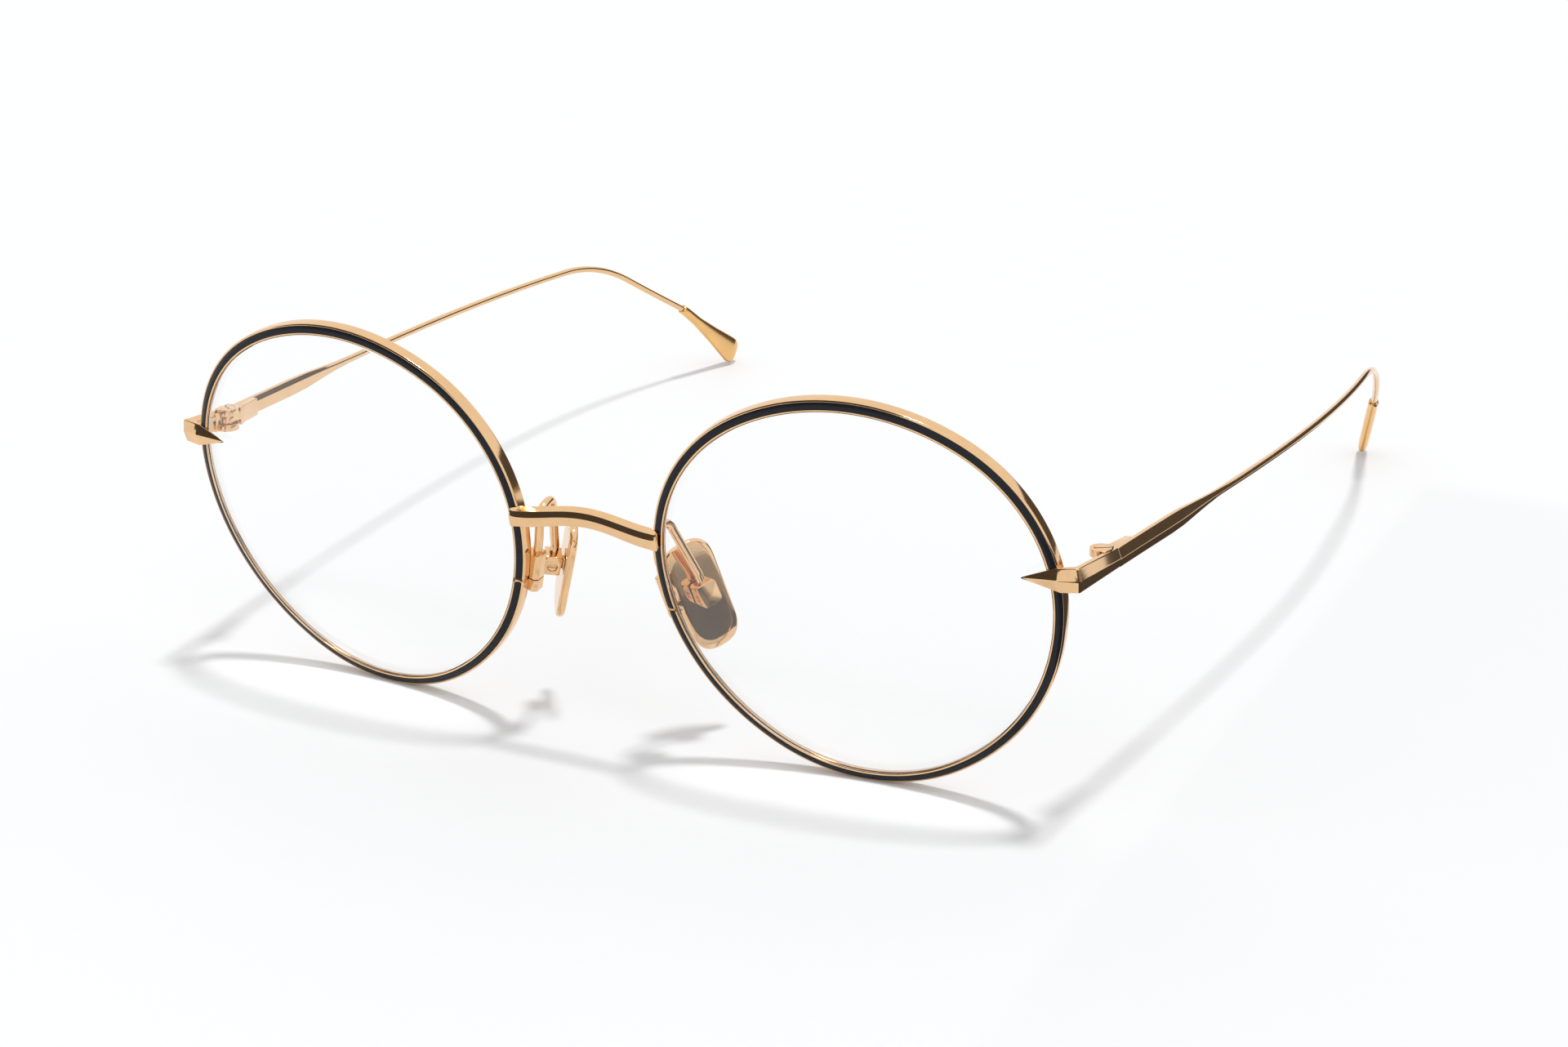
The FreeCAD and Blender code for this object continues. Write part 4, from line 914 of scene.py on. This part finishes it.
def add_card(name, centre, normal, width, height, strength):
    """A glowing card that is seen only in reflections and through the glass."""
    normal = np.asarray(normal, float) / np.linalg.norm(normal)
    side = np.cross((0, 0, 1.0), normal)
    side /= np.linalg.norm(side)
    up = np.cross(normal, side)
    centre = np.asarray(centre, float)
    corners = [centre + side * a * width / 2 + up * b * height / 2
               for a, b in ((-1, -1), (1, -1), (1, 1), (-1, 1))]
    mesh = bpy.data.meshes.new(name)
    mesh.from_pydata([tuple(c) for c in corners], [], [(0, 1, 2, 3)])
    obj = bpy.data.objects.new(name, mesh)
    bpy.context.scene.collection.objects.link(obj)
    material = bpy.data.materials.new(name)
    material.use_nodes = True
    tree = material.node_tree
    tree.nodes.remove(tree.nodes["Principled BSDF"])
    glow = tree.nodes.new("ShaderNodeEmission")
    glow.inputs["Color"].default_value = (*CARD_TINT, 1)
    glow.inputs["Strength"].default_value = strength
    link(tree, glow.outputs["Emission"], tree.nodes["Material Output"].inputs["Surface"])
    mesh.materials.append(material)
    obj.visible_camera = False
    obj.visible_diffuse = False
    obj.visible_shadow = False
    obj.visible_transmission = True


def build_stage(settings):
    """White room and table, the cards, the ceiling light and the camera."""
    scene = bpy.context.scene
    world = bpy.data.worlds.new("studio")
    scene.world = world
    world.use_nodes = True
    room = world.node_tree.nodes["Background"]
    room.inputs["Color"].default_value = (1.0, 1.0, 1.0, 1)
    room.inputs["Strength"].default_value = settings.surround
    mesh = bpy.data.meshes.new("table_top")
    corners = [(a * TABLE_REACH, b * TABLE_REACH, 0) for a, b in ((-1, -1), (1, -1), (1, 1), (-1, 1))]
    mesh.from_pydata(corners, [], [(0, 1, 2, 3)])
    floor = bpy.data.objects.new("table_top", mesh)
    scene.collection.objects.link(floor)
    material, _, shader = new_material("white_table")
    shader.inputs["Base Color"].default_value = (0.62, 0.624, 0.632, 1)
    shader.inputs["Roughness"].default_value = 0.6
    shader.inputs["Specular IOR Level"].default_value = 0.2
    mesh.materials.append(material)
    for card in CARDS:
        add_card(*card)
    lamp = bpy.data.lights.new("ceiling_light", "SUN")
    lamp.angle = LIGHT_SPREAD
    lamp.energy = settings.key_power
    holder = bpy.data.objects.new("ceiling_light", lamp)
    scene.collection.objects.link(holder)
    holder.rotation_euler = mathutils.Vector(LIGHT_ALONG).to_track_quat("-Z", "Y").to_euler()
    camera = bpy.data.cameras.new("camera")
    camera.sensor_width = 36.0
    camera.lens = settings.focal_length
    camera.clip_start, camera.clip_end = 0.01, 20.0
    camera.dof.use_dof = False
    holder = bpy.data.objects.new("camera", camera)
    scene.collection.objects.link(holder)
    axes = STAND_TURN @ np.column_stack([VIEW_RIGHT, np.negative(VIEW_DOWN), np.negative(VIEW_ALONG)])
    matrix = np.eye(4)
    matrix[:3, :3] = axes
    matrix[:3, 3] = grounded([VIEW_FROM])[0]
    holder.matrix_world = mathutils.Matrix(matrix.tolist())
    scene.camera = holder
    scene.view_settings.view_transform = "Standard"
    scene.view_settings.look = "None"
    scene.view_settings.exposure = 0.0


# Add-on layout ---------------------------------------------------------------

class EyeglassSettings(bpy.types.PropertyGroup):
    gold_tone: FloatVectorProperty(
        name="Gold", description="Colour of the polished frame metal", subtype="COLOR", size=3,
        default=(0.86, 0.56, 0.30), min=0, max=1)
    tip_tone: FloatVectorProperty(
        name="Ear tip gold", description="Colour of the ear tips", subtype="COLOR", size=3,
        default=(0.90, 0.54, 0.22), min=0, max=1)
    enamel_tone: FloatVectorProperty(
        name="Enamel", description="Colour of the fired enamel", subtype="COLOR", size=3,
        default=(0.010, 0.011, 0.015), min=0, max=1)
    surround: FloatProperty(
        name="Surround", description="Brightness of the room", default=1.0, min=0)
    key_power: FloatProperty(
        name="Ceiling light", description="Strength of the ceiling light", default=1.95, min=0)
    focal_length: FloatProperty(
        name="Focal length", description="Camera lens", default=64.16, unit="CAMERA")


def settings_of(context):
    return context.scene.eyeglass_settings


class EYEGLASS_OT_rims(bpy.types.Operator):
    """Builds both metal rims"""
    bl_idname, bl_label = "eyeglass.rims", "Rims"

    def execute(self, context):
        build_rims(materials(settings_of(context))["frame_gold"])
        return {"FINISHED"}


class EYEGLASS_OT_enamel(bpy.types.Operator):
    """Fills the rims' channels with enamel"""
    bl_idname, bl_label = "eyeglass.enamel", "Enamel"

    def execute(self, context):
        build_enamel(materials(settings_of(context))["enamel"])
        return {"FINISHED"}


class EYEGLASS_OT_lenses(bpy.types.Operator):
    """Builds both lenses"""
    bl_idname, bl_label = "eyeglass.lenses", "Lenses"

    def execute(self, context):
        build_lenses(materials(settings_of(context))["lens"])
        return {"FINISHED"}


class EYEGLASS_OT_bridge(bpy.types.Operator):
    """Builds the bridge bar"""
    bl_idname, bl_label = "eyeglass.bridge", "Bridge"

    def execute(self, context):
        build_bridge(materials(settings_of(context))["frame_gold"])
        return {"FINISHED"}


class EYEGLASS_OT_end_pieces(bpy.types.Operator):
    """Builds both faceted end pieces"""
    bl_idname, bl_label = "eyeglass.end_pieces", "End pieces"

    def execute(self, context):
        build_end_pieces(materials(settings_of(context))["frame_gold"])
        return {"FINISHED"}


class EYEGLASS_OT_temples(bpy.types.Operator):
    """Builds both temples"""
    bl_idname, bl_label = "eyeglass.temples", "Temples"

    def execute(self, context):
        build_temples(materials(settings_of(context))["frame_gold"])
        return {"FINISHED"}


class EYEGLASS_OT_ear_tips(bpy.types.Operator):
    """Builds both ear tips"""
    bl_idname, bl_label = "eyeglass.ear_tips", "Ear tips"

    def execute(self, context):
        build_ear_tips(materials(settings_of(context))["tip_gold"])
        return {"FINISHED"}


class EYEGLASS_OT_nose_pads(bpy.types.Operator):
    """Builds both nose pads"""
    bl_idname, bl_label = "eyeglass.nose_pads", "Nose pads"

    def execute(self, context):
        build_nose_pads(materials(settings_of(context))["pad_gold"])
        return {"FINISHED"}


class EYEGLASS_OT_pad_arms(bpy.types.Operator):
    """Builds both pad arms"""
    bl_idname, bl_label = "eyeglass.pad_arms", "Pad arms"

    def execute(self, context):
        build_pad_arms(materials(settings_of(context))["frame_gold"])
        return {"FINISHED"}


class EYEGLASS_OT_fittings(bpy.types.Operator):
    """Softens the locks, hinges, boxes and screws"""
    bl_idname, bl_label = "eyeglass.fittings", "Fittings"

    def execute(self, context):
        build_fittings(materials(settings_of(context)))
        return {"FINISHED"}


class EYEGLASS_OT_stage(bpy.types.Operator):
    """Sets up the table, lights and camera"""
    bl_idname, bl_label = "eyeglass.stage", "Stage"

    def execute(self, context):
        build_stage(settings_of(context))
        return {"FINISHED"}


OPERATORS = (
    EYEGLASS_OT_rims, EYEGLASS_OT_enamel, EYEGLASS_OT_lenses, EYEGLASS_OT_bridge, EYEGLASS_OT_end_pieces,
    EYEGLASS_OT_temples, EYEGLASS_OT_ear_tips, EYEGLASS_OT_nose_pads, EYEGLASS_OT_pad_arms,
    EYEGLASS_OT_fittings, EYEGLASS_OT_stage,
)


class EYEGLASS_PT_panel(bpy.types.Panel):
    """Lists the eyeglasses' pieces"""
    bl_idname, bl_label = "EYEGLASS_PT_panel", "Eyeglasses"
    bl_space_type, bl_region_type, bl_category = "VIEW_3D", "UI", "Eyeglasses"

    def draw(self, context):
        settings = settings_of(context)
        for name in ("gold_tone", "tip_tone", "enamel_tone", "surround", "key_power", "focal_length"):
            self.layout.prop(settings, name)
        for operator in OPERATORS:
            self.layout.operator(operator.bl_idname)


CLASSES = (EyeglassSettings, *OPERATORS, EYEGLASS_PT_panel)


def register():
    for cls in CLASSES:
        bpy.utils.register_class(cls)
    bpy.types.Scene.eyeglass_settings = PointerProperty(type=EyeglassSettings)


def unregister():
    del bpy.types.Scene.eyeglass_settings
    for cls in reversed(CLASSES):
        bpy.utils.unregister_class(cls)


def main():
    register()
    for operator in OPERATORS:
        group, name = operator.bl_idname.split(".")
        getattr(getattr(bpy.ops, group), name)()


if __name__ == "__main__":
    main()
